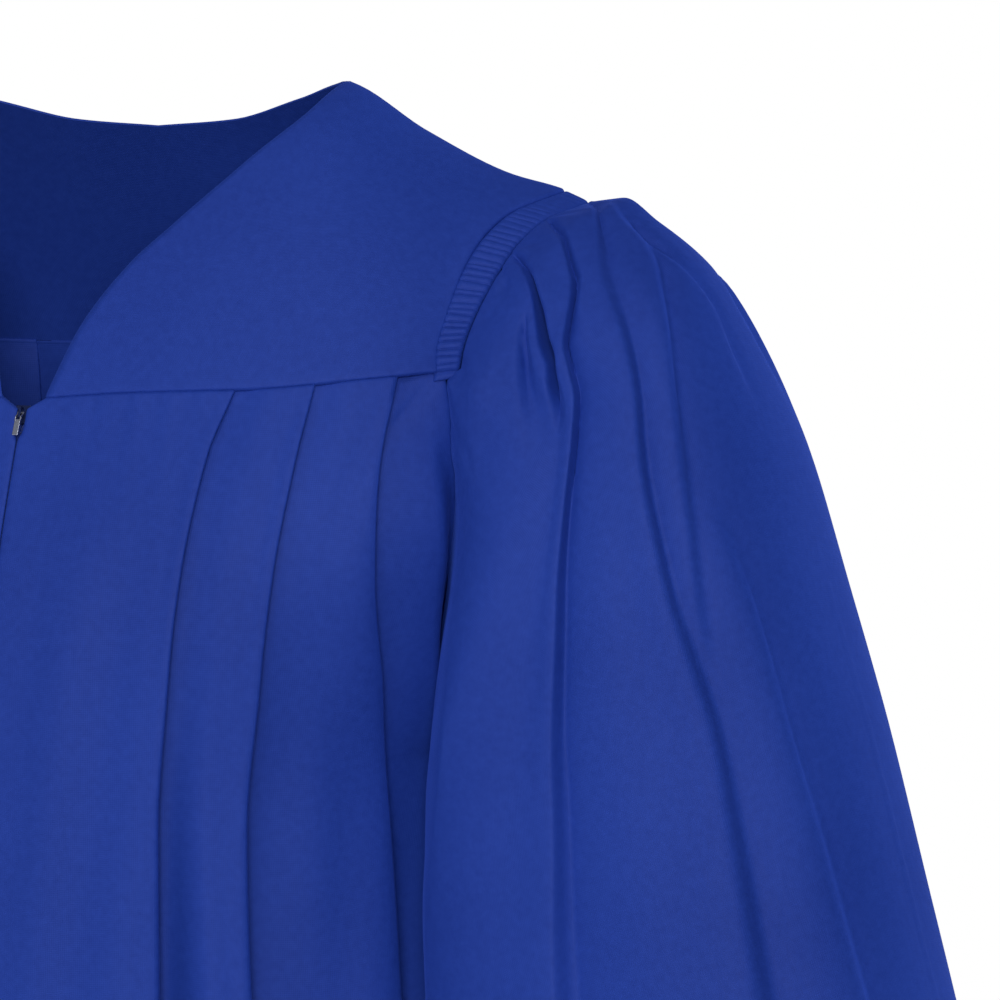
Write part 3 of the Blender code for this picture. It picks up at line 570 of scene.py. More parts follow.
def armhole_ring(around):
    """The sleeve's top edge at parts of the way round it."""
    ring = []
    place = []
    for side in (FRONT, BACK):
        # Along the band from the ridge, then down the armhole's edge to a point under the arm
        over = np.linspace(0, side, 40)
        across = YOKE_EDGE.at("across", over) + YOKE_EDGE.at("band_width", over) + BAND_EASE
        upper = shoulder_at(across, over)
        drop = np.concatenate([np.linspace(125, 281, 50), [UNDERARM_DROP - 1]])
        chart = CHARTS[side]
        edge = chart.armhole(drop)
        lower = chart.point(drop, edge) + chart.along(drop, edge) * ARMHOLE_EASE
        lower[:, 0] += UNDERARM_EASE * ease((drop - UNDERARM_FROM) / 40)
        width = BODY.at("half_width", UNDERARM_DROP)
        lower[-1] = (width + 0.8 + ARMHOLE_EASE, 0, 1 - UNDERARM_DROP)
        points = np.concatenate([upper, lower])
        lengths = run_along(points)
        part = 0.5 * lengths / lengths[-1]
        if side == FRONT:
            ring.extend(points)
            place.extend(part)
        else:
            ring.extend(points[-2::-1])
            place.extend(1 - part[-2::-1])
    return points_at(around, place, np.array(ring))


def sleeve_section(section, around):
    """Points of one slanted section at parts of the way round it."""
    outer = np.array([SLEEVE.at("outer_across", section), 0, -SLEEVE.at("outer_drop", section)])
    inner = np.array([SLEEVE.at("inner_across", section), 0, -SLEEVE.at("inner_drop", section)])
    power = 2 / SLEEVE.at("squareness", section)
    angle = np.linspace(0, 2 * math.pi, 1441)
    out = np.sign(np.cos(angle)) * np.abs(np.cos(angle)) ** power
    ahead = np.sign(np.sin(angle)) * np.abs(np.sin(angle)) ** power
    points = (outer + inner) / 2 + np.outer(out, (outer - inner) / 2)
    points[:, 1] = SLEEVE.at("back", section) - SLEEVE.at("half_depth", section) * ahead
    points[:, 0] -= SLEEVE_SKEW * ahead
    lengths = run_along(points)
    return points_at(np.asarray(around) * lengths[-1], lengths, points)


def clear_of_body(points, section):
    """Move sleeve points outwards until they hang clear of the body's side.

    The cloth bends away from it sharply by the armhole and softly further down.
    """
    across, depth, height = points.T
    clearance = SLEEVE_CLEARANCE * float(ease(0.4 + section))
    side_depth = np.where(depth < 0, half_depth(FRONT, -height), half_depth(BACK, -height))
    reach = side_depth + clearance
    power = BODY.at("squareness", -height)
    width = BODY.at("half_width", -height) + clearance
    part = np.minimum(np.abs(depth) / reach, 1)
    limit = width * (1 - part**power) ** (1 / power)
    softness = 1.5 + 4.5 * float(ease(section / 3))
    over = np.minimum((across - limit) / softness, 30)
    clear = limit + softness * np.log1p(np.exp(over))
    moved = (np.maximum(clear, across) - across) * ease((-height - BODY_SIDE_FROM) / 25)
    moved = np.where(np.abs(depth) >= reach, 0, moved)
    return points + np.stack([moved, 0 * moved, 0 * moved], axis=1)


# Cloth

TUCK_PLACES = (0.0, 0.06, 0.2, 0.5, 1.0, 1.9)       # from the edge of a piece, across a seam
TUCK_DEPTHS = (2.4, 1.0, 0.55, 0.25, 0.08, 0.0)     # how far in the cloth turns there
HEAD_SEAM_DEPTHS = (1.6, 0.6, 0.25, 0.08, 0.0, 0.0)     # the same where a sleeve meets its band
RIPPLE_WAVES = 4            # how many waves an uneven ripple is added up from


def grid_normals(points, within, closed=False):
    """Unit normals of a grid, rows down and columns round, that point away from within."""
    down = np.gradient(points, axis=0)
    if closed:
        round_it = np.roll(points, -1, axis=1) - np.roll(points, 1, axis=1)
    else:
        round_it = np.gradient(points, axis=1)
    normal = np.cross(round_it, down)
    normal = normal / np.maximum(np.linalg.norm(normal, axis=2, keepdims=True), 1e-9)
    return normal * np.sign(((points - within) * normal).sum())


def edge_places(length, count, first=True, last=True):
    """Places from 0 to length, close together where an edge turns in, and the turn's depths."""
    head = TUCK_PLACES if first else (0.0,)
    tail = TUCK_PLACES if last else (0.0,)
    inner = np.linspace(head[-1], length - tail[-1], count)
    places = np.concatenate([head[:-1], inner, length - np.array(tail[-2::-1])])
    depths = np.zeros(len(places))
    if first:
        depths[:len(head)] = TUCK_DEPTHS
    if last:
        depths[-len(tail):] = TUCK_DEPTHS[::-1]
    return places, depths


def ripple(place, seed):
    """A gentle uneven ripple of about unit height and unit wavelength."""
    numbers = np.random.default_rng(seed)
    rates = numbers.uniform(0.6, 1.7, RIPPLE_WAVES)
    phases = numbers.uniform(0, 1, RIPPLE_WAVES)
    total = 0
    for rate, phase in zip(rates, phases):
        total = total + np.sin(2 * math.pi * (rate * np.asarray(place) + phase))
    return total / math.sqrt(RIPPLE_WAVES)


def cloth(name, points, thickness, material, within, closed=False):
    """A sheet of cloth on a grid of points, its faces turned away from a point within."""
    if closed:
        points = np.concatenate([points, points[:, :1]], axis=1)
    rows, columns = points.shape[:2]
    threads = np.stack([run_over(points, 1), run_over(points)], axis=2).reshape(-1, 2) * MM
    form = bmesh.new()
    bmesh.ops.create_grid(form, x_segments=columns - 1, y_segments=rows - 1, size=0.5)
    form.verts.index_update()
    for vert, point in zip(form.verts, points.reshape(-1, 3) * MM):
        vert.co = point
    layer = form.loops.layers.uv.new("threads")
    for face in form.faces:
        face.smooth = True
        for loop in face.loops:
            loop[layer].uv = threads[loop.vert.index]
    if closed:
        ends = [vert for vert in form.verts if vert.index % columns in (0, columns - 1)]
        bmesh.ops.remove_doubles(form, verts=ends, dist=1e-7)
    form.normal_update()
    heart = Vector(within) * MM
    facing = sum((face.calc_center_median() - heart).dot(face.normal) for face in form.faces)
    if facing < 0:
        bmesh.ops.reverse_faces(form, faces=form.faces)
    piece = keep(name, form, material)
    shell = piece.modifiers.new("thickness", "SOLIDIFY")
    shell.thickness = thickness * MM
    shell.offset = 0
    return piece


def keep(name, form, material):
    """Turn a bmesh into a finished object with its material."""
    mesh = bpy.data.meshes.new(name)
    form.to_mesh(mesh)
    form.free()
    piece = bpy.data.objects.new(name, mesh)
    bpy.context.scene.collection.objects.link(piece)
    mesh.materials.append(material)
    return piece


def mirrored(points, hand):
    return points * np.array([hand, 1, 1])


def turned_up(points, turn, within, closed=False):
    """Add the hem: the last rows again, inside, as the cloth is turned up."""
    normal = grid_normals(points, within, closed)
    height = np.linalg.norm(points[-1] - points, axis=2).mean(axis=1)
    rows = [row for row in range(len(points) - 1, -1, -1) if height[row] <= turn]
    inside = points[rows] - normal[rows] * HEM_GAP
    edge = points[-1:] - normal[-1:] * HEM_GAP / 2
    fall = points[-1:] - points[-2:-1]
    edge = edge + fall / np.linalg.norm(fall, axis=2, keepdims=True) * HEM_GAP / 3
    return np.concatenate([points, edge, inside])


# Materials

def linear(hex_colour):
    """An sRGB hex colour as linear values."""
    parts = [int(hex_colour[i:i + 2], 16) / 255 for i in (1, 3, 5)]
    return [((c + 0.055) / 1.055) ** 2.4 if c > 0.04045 else c / 12.92 for c in parts] + [1.0]


def add_node(tree, kind, links, **settings):
    """Add a node; links maps its sockets to values or to other nodes' sockets."""
    made = tree.nodes.new(kind)
    for name, value in settings.items():
        setattr(made, name, value)
    for socket, value in links.items():
        if isinstance(value, bpy.types.NodeSocket):
            tree.links.new(value, made.inputs[socket])
        else:
            made.inputs[socket].default_value = value
    return made


def new_material(name, **sockets):
    """A material whose shader has these constants on its own sockets."""
    material = bpy.data.materials.new(name)
    material.use_nodes = True
    shader = material.node_tree.nodes["Principled BSDF"]
    for socket, value in sockets.items():
        shader.inputs[socket.replace("_", " ")].default_value = value
    return material, material.node_tree, shader


WAVE_PERIOD = 0.314         # metres between a wave texture's bands at a scale of 1
MIX_FACTOR = 0              # a colour mix node's sockets, by number
MIX_A = 6
MIX_B = 7
MIX_COLOUR = 2
SLUB_WIDTH = 0.0016         # metres, as the sizes of all patterns are
SLUB_LENGTH = 0.012
DYE_CLOUD = 0.0035          # the dye is cloudy from thread to thread
DYE_DRIFT = 0.09            # and drifts from one hand's breadth to the next
TEETH_WEAR = 0.004


def woven_polyester(name, dark, light, thread):
    """Matte woven gown cloth: plain weave, faintly uneven dye, a soft bloom at the edges."""
    material, tree, shader = new_material(
        name, Sheen_Weight=0.35, Sheen_Roughness=0.4, Sheen_Tint=linear("#3F63DE"),
        Specular_IOR_Level=0.15)
    place = add_node(tree, "ShaderNodeTexCoord", {})
    uv = place.outputs["UV"]
    solid = place.outputs["Object"]
    warp = add_node(tree, "ShaderNodeTexWave", {"Vector": uv, "Scale": WAVE_PERIOD / thread},
                    bands_direction="X")
    weft = add_node(tree, "ShaderNodeTexWave", {"Vector": uv, "Scale": WAVE_PERIOD / thread},
                    bands_direction="Y")
    weave = add_node(tree, "ShaderNodeMath", {0: warp.outputs["Fac"], 1: weft.outputs["Fac"]},
                     operation="ADD")
    # Slubs, where a thread runs a little thick, are longer than they are wide
    stretch = add_node(tree, "ShaderNodeMapping", {"Vector": uv,
                                                   "Scale": (1 / SLUB_WIDTH, 1 / SLUB_LENGTH, 1)})
    slubs = add_node(tree, "ShaderNodeTexNoise", {"Vector": stretch.outputs["Vector"], "Scale": 1.0,
                                                  "Detail": 2.0})
    cloud = add_node(tree, "ShaderNodeTexNoise", {"Vector": solid, "Scale": 1 / DYE_CLOUD, "Detail": 3.0,
                                                  "Roughness": 0.6})
    drift = add_node(tree, "ShaderNodeTexNoise", {"Vector": solid, "Scale": 1 / DYE_DRIFT, "Detail": 1.0})
    mottle = add_node(tree, "ShaderNodeMath", {0: cloud.outputs["Fac"], 1: drift.outputs["Fac"]},
                      operation="ADD")
    blend = add_node(tree, "ShaderNodeMapRange", {"Value": mottle.outputs["Value"], "From Min": 0.55,
                                                  "From Max": 1.45})
    dye = add_node(tree, "ShaderNodeMix", {MIX_FACTOR: blend.outputs["Result"],
                                           MIX_A: linear(dark), MIX_B: linear(light)},
                   data_type="RGBA")
    tree.links.new(dye.outputs[MIX_COLOUR], shader.inputs["Base Color"])
    rough = add_node(tree, "ShaderNodeMapRange", {"Value": slubs.outputs["Fac"], "To Min": 0.56,
                                                  "To Max": 0.68})
    tree.links.new(rough.outputs["Result"], shader.inputs["Roughness"])
    relief = add_node(tree, "ShaderNodeMath", {0: weave.outputs["Value"], 1: slubs.outputs["Fac"]},
                      operation="ADD")
    bump = add_node(tree, "ShaderNodeBump", {"Height": relief.outputs["Value"], "Strength": 0.25,
                                             "Distance": 0.00012})
    tree.links.new(bump.outputs["Normal"], shader.inputs["Normal"])
    return material


def satin_metal(name, dark, light, roughness, grain):
    """Die-cast zinc, tumbled smooth: small dull pits and a soft shine."""
    material, tree, shader = new_material(name, Metallic=0.9)
    place = add_node(tree, "ShaderNodeTexCoord", {})
    pits = add_node(tree, "ShaderNodeTexNoise", {"Vector": place.outputs["Object"], "Scale": 1 / grain,
                                                 "Detail": 3.0})
    rough = add_node(tree, "ShaderNodeMapRange", {"Value": pits.outputs["Fac"],
                                                  "To Min": roughness - 0.08, "To Max": roughness + 0.12})
    tree.links.new(rough.outputs["Result"], shader.inputs["Roughness"])
    tone = add_node(tree, "ShaderNodeMix", {MIX_FACTOR: pits.outputs["Fac"],
                                            MIX_A: linear(dark), MIX_B: linear(light)},
                    data_type="RGBA")
    tree.links.new(tone.outputs[MIX_COLOUR], shader.inputs["Base Color"])
    bump = add_node(tree, "ShaderNodeBump", {"Height": pits.outputs["Fac"], "Strength": 0.2,
                                             "Distance": 0.00005})
    tree.links.new(bump.outputs["Normal"], shader.inputs["Normal"])
    return material


def moulded_nylon(name, dark, light):
    """Zip teeth: dyed nylon, smooth with a slight shine and a little wear."""
    material, tree, shader = new_material(name, Roughness=0.45)
    place = add_node(tree, "ShaderNodeTexCoord", {})
    wear = add_node(tree, "ShaderNodeTexNoise", {"Vector": place.outputs["Object"],
                                                 "Scale": 1 / TEETH_WEAR, "Detail": 2.0})
    tone = add_node(tree, "ShaderNodeMix", {MIX_FACTOR: wear.outputs["Fac"],
                                            MIX_A: linear(dark), MIX_B: linear(light)},
                    data_type="RGBA")
    tree.links.new(tone.outputs[MIX_COLOUR], shader.inputs["Base Color"])
    return material


# The threads are really about 0.25 mm apart; drawn coarser, so that they show
GOWN_CLOTH = woven_polyester("gown_cloth", "#18338B", "#223F9E", thread=0.0009)
TAPE_WEAVE = woven_polyester("zip_tape_weave", "#1D2F78", "#243A88", thread=0.0008)
SLIDER_METAL = satin_metal("lacquered_zinc", "#202C58", "#2E3B6C", roughness=0.38, grain=0.0006)
PULL_METAL = satin_metal("satin_zinc", "#8A90A4", "#A4A9BA", roughness=0.34, grain=0.0005)
COIL_NYLON = moulded_nylon("dyed_nylon", "#1B2A6C", "#26397F")


# Fronts and back

ARMHOLE_REACH = 2.4         # how far the armhole edges reach, to meet the sleeve
PLEAT_DEPTH = 14            # from a pleat's fold back to its inner one
FOLD_NAMES = ("fold_1", "fold_2", "fold_3")
TURN_PARTS = (0.2, 0.4, 0.6, 0.8, 1)        # columns round each turn of a fold
UNDER_PARTS = (0.33, 0.67)                  # columns between its two turns
FOLD_REST = 2                               # from a fold to the next stretch's first column
FOOT_GAP = 1.2                              # kept clear in front of a pleat's inner fold
FLARES = np.array([1.0, 1.4, 5.0])          # how far each pleat's edge stands out
FLARE_DROPS = np.array([25, 30, 90])        # how far below the seam they do so in full
FLARE_REACH = 5                             # the width that rises, for each millimetre of it
SETTLED_DROP = 150          # from here down a row is level; above, it leans to the top edge


def pleated_line(first_places, folds, turn, radius, end, panel_steps, flares):
    """A level line of cloth with knife pleats, folded away from the centre line.

    Gives how far round and how far out each point lies. A fold turns under, runs
    back, turns again and leaves on a lower level, from which the panel rises clear
    of the foot of the fold after it.
    """
    heading = math.radians(turn)
    lead = radius * math.sin(min(heading, math.pi / 2))
    foot_reach = radius - 2 * radius * math.sin(heading) - PLEAT_DEPTH * math.cos(heading)
    line = [(place, 0.0) for place in first_places]
    begin = first_places[-1]
    level = 0.0
    for fold, steps, flare in zip(list(folds) + [None], panel_steps, list(flares) + [0.0]):
        last = end if fold is None else fold - lead
        flare_reach = FLARE_REACH * max(flare, 1)
        places, _ = edge_places(last - begin, steps, False, fold is None)
        rise = last - begin - (0 if fold is None else max(foot_reach + FOOT_GAP, 4))
        for place in places[1:] if level == 0 else places:
            lifted = flare * float(ease(1 - (last - begin - place) / flare_reach))
            line.append((begin + place, level * (1 - float(ease(place / rise))) + lifted))
        if fold is None:
            break
        for part in TURN_PARTS:
            angle = heading * part
            line.append((last + radius * math.sin(angle), flare + radius * (math.cos(angle) - 1)))
        foot_round = last + radius * math.sin(heading) + PLEAT_DEPTH * math.cos(heading)
        under = flare * float(ease(1 - max(last - foot_round, 0) / flare_reach))
        foot_out = under + radius * (math.cos(heading) - 1) - PLEAT_DEPTH * math.sin(heading)
        for part in UNDER_PARTS:
            line.append((line[-1][0] * (1 - part) + foot_round * part,
                         line[-1][1] * (1 - part) + foot_out * part))
        for part in (0,) + TURN_PARTS:
            angle = heading * (1 - part)
            away = foot_round + radius * (math.sin(heading) - math.sin(angle))
            line.append((away, foot_out + radius * (math.cos(heading) - math.cos(angle))))
        level = line[-1][1]
        begin = max(fold, line[-1][0]) + FOLD_REST
    return np.array(line)


def front_top(across):
    """Drop of a front's top edge: the yoke seam, then down to the foot of the V."""
    corner = float(SHOULDER.at("front_seam_drop", YOKE_POINT)) + TOP_EASE
    part = np.clip((across - V_FOOT_HALF_GAP) / (YOKE_POINT - V_FOOT_HALF_GAP), 0, 1)
    slant = V_FOOT_DROP + part * (corner - V_FOOT_DROP)
    return np.where(across >= YOKE_POINT, SHOULDER.at("front_seam_drop", across) + TOP_EASE, slant)


def back_top(across):
    return SHOULDER.at("back_seam_drop", across) + TOP_EASE


def body_drops(top, *stretches):
    """Rows of a body panel: a turned-in top edge, then rows that grow apart."""
    rows = [top + place for place in TUCK_PLACES]
    for until, count in stretches + ((HEM_DROP - HEM_TURN, 50), (HEM_DROP, 3)):
        rows.extend(np.linspace(rows[-1], until, count + 1)[1:])
    return np.array(rows)


# Half a panel of each side. "steps" counts the columns of each stretch between pleats.
# Its seam with the yoke is "sewn_from" this far off the centre, its edge runs up under
# the yoke by the "overlap", and the seam is "sunk" by this part of a front's depth: the
# back's is pressed flat, so that it hardly shows inside.
PANELS = {
    FRONT: {"top": front_top, "drops": body_drops(119, (150, 14), (330, 64), (560, 24)),
            "pleats": FRONT_PLEATS, "steps": (26, 18, 18, 18), "seed": 12,
            "sewn_from": YOKE_POINT, "overlap": 2.5, "sunk": 1.0},
    BACK: {"top": back_top, "drops": body_drops(115, (150, 10), (330, 36), (560, 20)),
           "pleats": BACK_PLEATS, "steps": (16, 14, 14, 14), "seed": 31,
           "sewn_from": -3, "overlap": 1.2, "sunk": 0.1},
}
ZIP_EDGE = (0.0, 0.15, 0.5, 1.1, 2.0, 3.4, 5.4)     # columns beside the zip
ZIP_ROLL = (0.75, 0.5, 0.28, 0.1, 0.0, 0.0, 0.0)    # how far the cloth rolls in there

# Soft waves of the hanging cloth: their height, the drop at which they begin, the stretch
# over which they grow, and how wide and how long one wave is
WAVES = {
    FRONT: ((3.0, 200, 900, 95, 1600), (0.9, 150, 120, 60, 500)),
    BACK: ((3.0, 200, 900, 100, 1500), (0.8, 150, 120, 65, 600)),
}
CENTRE_EASE = 25            # from the centre line to where relief is full
SIDE_EASE = 30              # and from the armhole or the side seam
PUCKER_HEIGHT = 0.6         # small waves that hang from the front yoke's seam
PUCKER_WIDTH = 12
PUCKER_TOP = 134
PUCKER_LENGTH = 22
PUCKER_REACH = 110          # from the centre line to where they end
ARM_FULLNESS = 13.0         # how far the front stands out between its last pleat and the arm
ARM_FULLNESS_TOP = 140
HOLLOW_DEPTH = 3.0          # how far it sinks there under the yoke's corner
HOLLOW_TOP = 119
HOLLOW_SIZE = (16, 11)      # across and down
DRAG_FOOT = (13, 128)       # a point on the drag line: past the last pleat, and its drop
DRAG_SLOPE = 1.6
DRAG_WIDTH = 5


def panel_waves(side, away, drop, seed):
    """Waves that end before the centre line and the side seam."""
    out = 0
    for number, (height, begin, growth, width, length) in enumerate(WAVES[side]):
        grown = height * ease((drop - begin) / growth)
        out = out + grown * ripple(away / width + drop / length, seed + number)
    return out * ease((CHARTS[side].armhole(drop) - away) / SIDE_EASE) * ease(away / CENTRE_EASE)


def front_relief(away, drop, seed):
    """Puckers under the yoke's seam, and a hollow, a drag line and fullness by the arm."""
    under_seam = np.exp(-np.maximum(drop - PUCKER_TOP, 0) / PUCKER_LENGTH)
    between = ease((PUCKER_REACH - away) / 60) * ease(away / CENTRE_EASE)
    puckers = PUCKER_HEIGHT * under_seam * between * ripple(away / PUCKER_WIDTH, seed)
    last_fold = FRONT_PLEATS.at("fold_3", drop)
    past = away - last_fold
    part = np.clip(past / (CHARTS[FRONT].armhole(drop) - last_fold), 0, 1)
    full = ARM_FULLNESS * ease((drop - ARM_FULLNESS_TOP) / 60) * part * ease((1 - part) / 0.3)
    hollow = HOLLOW_DEPTH * np.exp(-((drop - HOLLOW_TOP) / HOLLOW_SIZE[1]) ** 2
                                   - np.maximum(past, 0) / HOLLOW_SIZE[0])
    off_drag = drop - DRAG_FOOT[1] - DRAG_SLOPE * (DRAG_FOOT[0] - past)
    drag = np.exp(-(off_drag / DRAG_WIDTH) ** 2)
    return puckers + full - np.where(past > 0, hollow + drag, 0)


def lead_in(side, drop):
    """Columns before a panel's first stretch: a front's zip edge, or the back's middle."""
    if side == BACK:
        return [0.0]
    edge = float(FRONT_OPENING.at("half_gap", max(drop, V_FOOT_DROP)))
    return [edge + place for place in ZIP_EDGE] + [YOKE_POINT]


def half_panel(side, hand):
    """The left half of a body panel: rows down from its top seam, columns out from the centre."""
    chart = CHARTS[side]
    panel = PANELS[side]
    pleats = panel["pleats"]
    seed = panel["seed"] + hand
    top = float(pleats.rows[0, 0])
    rows = []
    for row, level in enumerate(panel["drops"]):
        end = float(chart.armhole(level)[0]) - SEAM + (ARMHOLE_REACH if level < UNDERARM_DROP else 0)
        folds = [float(pleats.at(name, level)) for name in FOLD_NAMES]
        turn, radius = (float(pleats.at(name, level)) for name in ("turn", "radius"))
        flares = FLARES * ease((level - top) / FLARE_DROPS)
        line = pleated_line(lead_in(side, level), folds, turn, radius, end, panel["steps"], flares)
        away, out = line.T
        drop = np.full(len(away), level)
        if level < SETTLED_DROP:
            edge = panel["top"](chart.point(level, away)[:, 0])
            drop = edge + (SETTLED_DROP - edge) * (level - top) / (SETTLED_DROP - top)
            slack = chart.armhole(drop) - chart.armhole(level)
            away = away + slack * ease((away - folds[2]) / (end - folds[2]))
        out = out + panel_waves(side, away, drop, seed)
        if side == FRONT:
            out = out + front_relief(away, drop, seed - 1)
        if row == 0:
            drop = drop - panel["overlap"] * ease((away - panel["sewn_from"]) / 3)
        if row < len(TUCK_DEPTHS):
            out = out - TUCK_DEPTHS[row] * panel["sunk"]
        out[-len(TUCK_DEPTHS):] -= TUCK_DEPTHS[::-1]
        rows.append(chart.point(drop, away) + chart.outward(drop, away) * out[:, None])
    return np.array(rows)


def make_front(name, hand):
    """Half a panel with its zip edge rolled in and its hem turned up."""
    points = half_panel(FRONT, hand)
    drops = PANELS[FRONT]["drops"]
    edge_out = CHARTS[FRONT].outward(drops, np.zeros(len(drops)))
    for column, roll in enumerate(ZIP_ROLL):
        points[:, column] -= edge_out * roll
    points = turned_up(mirrored(points, hand), HEM_TURN, BODY_HEART)
    return cloth(name, points, PANEL_CLOTH, GOWN_CLOTH, BODY_HEART)


def make_back(name):
    """Both halves joined down the middle, with the hem turned up."""
    right, left = (mirrored(half_panel(BACK, hand), hand) for hand in (RIGHT, LEFT))
    points = turned_up(np.concatenate([right[:, :0:-1], left], axis=1), HEM_TURN, BODY_HEART)
    return cloth(name, points, PANEL_CLOTH, GOWN_CLOTH, BODY_HEART)


# Yokes

def beside_band(over):
    """How deep the seam between yoke and band is: shallow low down in front."""
    return 0.25 + 0.75 * ease((np.asarray(over) + 0.8) / 0.45)


RIDGE_PARTS = 12            # the ridge's ease dies out within this fraction, 1/12, of a yoke


def make_front_yoke(name, hand):
    """Rows run up from the seam over the pleats to the shoulder seam."""
    overs, row_depths = edge_places(150, 60)
    ways, column_depths = edge_places(110, 44, False, True)
    over = (overs / overs[-1] - 1)[:, None]
    way = (ways / ways[-1])[None, :]
    inner = NECK_EDGE.at("across", over)
    outer = YOKE_EDGE.at("across", over) - SEAM
    across = inner + (outer - inner) * way
    points = shoulder_at(across, np.broadcast_to(over, across.shape))
    points[..., 1] -= RIDGE_EASE * ease(1 + over * RIDGE_PARTS)
    depth = np.maximum(row_depths[:, None], column_depths[None, :] * beside_band(over))
    points = points - grid_normals(points, YOKE_HEART) * depth[..., None]
    return cloth(name, mirrored(points, hand), YOKE_CLOTH, GOWN_CLOTH, YOKE_HEART)


def make_back_yoke(name):
    """Rows run down from the neck or the shoulder seam to the back's seam."""
    downs, row_depths = edge_places(120, 46)
    ways, column_depths = edge_places(200, 50, False, True)
    head_edge = float(YOKE_EDGE.at("across", 0)) - SEAM
    part = (ways / ways[-1])[None, :]
    down = (downs / downs[-1])[:, None]
    start = BACK_NECK.at("over", part * head_edge)
    over = start + (1 - start) * down
    across = part * (YOKE_EDGE.at("across", over) - SEAM)
    points = shoulder_at(across, over)
    points[..., 1] += RIDGE_EASE * ease(1 - over * RIDGE_PARTS)
    # The neck's edge isn't turned in, because nothing is sewn to it
    past_neck = ease((part * head_edge - SIDE_NECK) / 3)
    edge_depths = row_depths[:, None] * np.where(down < 0.5, past_neck, PANELS[BACK]["sunk"])
    depth = np.maximum(edge_depths, column_depths[None, :])
    half = points - grid_normals(points, YOKE_HEART) * depth[..., None]
    points = np.concatenate([mirrored(half[:, :0:-1], RIGHT), half], axis=1)
    return cloth(name, points, YOKE_CLOTH, GOWN_CLOTH, YOKE_HEART)


# Fluted armhole bands

BAND_REACH = 1.1            # how far a band's outer edge reaches, to meet the sleeve
BAND_UNDER = 1.6            # how far its inner edge slips under the yoke where the seam is shallow
BAND_SINK = 1.6             # how far its ends sink in under the fronts and the back
BAND_TUCK = 0.7             # how deep its edges turn in, as a part of other edges
RIB_STEPS = 8               # columns of one flute
RIB_HEIGHT = 1.15
RIB_BASE = 0.5              # how deep the grooves lie in the gown's form
RIB_ROUNDNESS = 0.7         # the lower, the rounder a flute and the sharper its grooves
RIB_DRIFT = 0.16            # how unevenly the flutes are spaced, as a part of one
RIB_LEAN = 0.25             # how far they lean across the band, also as a part of one
RIB_STRENGTHS = (0.55, 1.1)
CREST_FADE = 0.85           # the part of their height that they lose on the shoulder's crest
CREST_PART = 0.2            # the part of the band over which it comes back


def make_fluting(name, hand, seed):
    """Narrow cords of gathered cloth between the yokes and the sleeve's head."""
    overs = np.linspace(-BAND_ENDS, BAND_ENDS, 900)
    edge = YOKE_EDGE.at("across", overs)
    begin = edge + 2 * SEAM - BAND_UNDER * (1 - beside_band(overs))
    end = edge + YOKE_EDGE.at("band_width", overs) - 2 * SEAM + BAND_REACH
    numbers = np.random.default_rng(seed)
    offsets, row_depths = edge_places(12, 9)
    ribs = np.arange(RIB_STEPS * FLUTES + 1) / RIB_STEPS
    grooves = np.arange(FLUTES + 1)
    drift = np.pad(numbers.uniform(-RIB_DRIFT, RIB_DRIFT, FLUTES - 1), 1)
    spacing = np.interp(ribs, grooves, grooves + drift) / FLUTES
    strength = np.interp(ribs, grooves, numbers.uniform(*RIB_STRENGTHS, FLUTES + 1))
    lean = np.interp(ribs, grooves, numbers.uniform(-RIB_LEAN, RIB_LEAN, FLUTES + 1))
    rows = []
    for offset in offsets / offsets[-1]:
        points = shoulder_at(begin + offset * (end - begin), overs)
        lengths = run_along(points)
        rows.append(points_at((spacing + lean * (offset - 0.5) / FLUTES) * lengths[-1], lengths, points))
    points = np.array(rows)
    over = (2 * spacing - 1) * BAND_ENDS
    cord = np.abs(np.sin(math.pi * ribs)) ** RIB_ROUNDNESS
    over_top = 1 - CREST_FADE * np.exp(-((spacing - 0.5) / CREST_PART) ** 2)
    across_band = ease(np.minimum(offsets, offsets[-1] - offsets) / 1.4)
    height = RIB_HEIGHT * across_band[:, None] * (cord * strength * over_top)[None, :] - RIB_BASE
    sunk = BAND_SINK * ease((np.abs(over) - 0.985) / 0.03)
    by_yoke = offsets[:, None] < offsets[-1] / 2
    turn_in = BAND_TUCK * row_depths[:, None] * np.where(by_yoke, beside_band(over), 1)
    points = points + grid_normals(points, YOKE_HEART) * (height - sunk - turn_in)[..., None]
    return cloth(name, mirrored(points, hand), PANEL_CLOTH, GOWN_CLOTH, YOKE_HEART)


# Sleeves

def sleeve_columns(rows, front_drift, back_drift):
    """For each row, parts of the way round from -0.5 to 0.5, closest together over the folds."""
    steps = BACK_COLUMNS + TOP_COLUMNS + FRONT_COLUMNS
    marks = np.concatenate([[0], np.cumsum(steps)])
    grid = []
    for section in rows:
        lines = np.array([float(FOLD_LINES.at(name, section)) for name in FOLD_LINE_NAMES])
        settle = float(ease(section / 2))
        ahead = lines + front_drift * settle
        behind = lines + back_drift * settle
        places = np.concatenate([[-0.5], -behind[::-1], ahead, [0.5]])
        grid.append(np.interp(np.arange(marks[-1]), marks, places))
    return np.array(grid)


def sleeve_rows():
    """Sections of the rows: closest together at the seam with the band and over the short folds."""
    rows = [0.0, 0.02, 0.05, 0.1, 0.16]
    for until, count in ((4, 96), (7, 30), (10.8, 28), (SLEEVE_END, 3)):
        rows.extend(np.linspace(rows[-1], until, count + 1)[1:])
    return np.array(rows)


LIP_PLACE = 1.15            # where a lip's crest lies, as a part of its groove's width
LIP_RISE = 0.7              # how wide the lip is on the groove's side of it, likewise
LIP_FALL = 2.0              # and on its other side


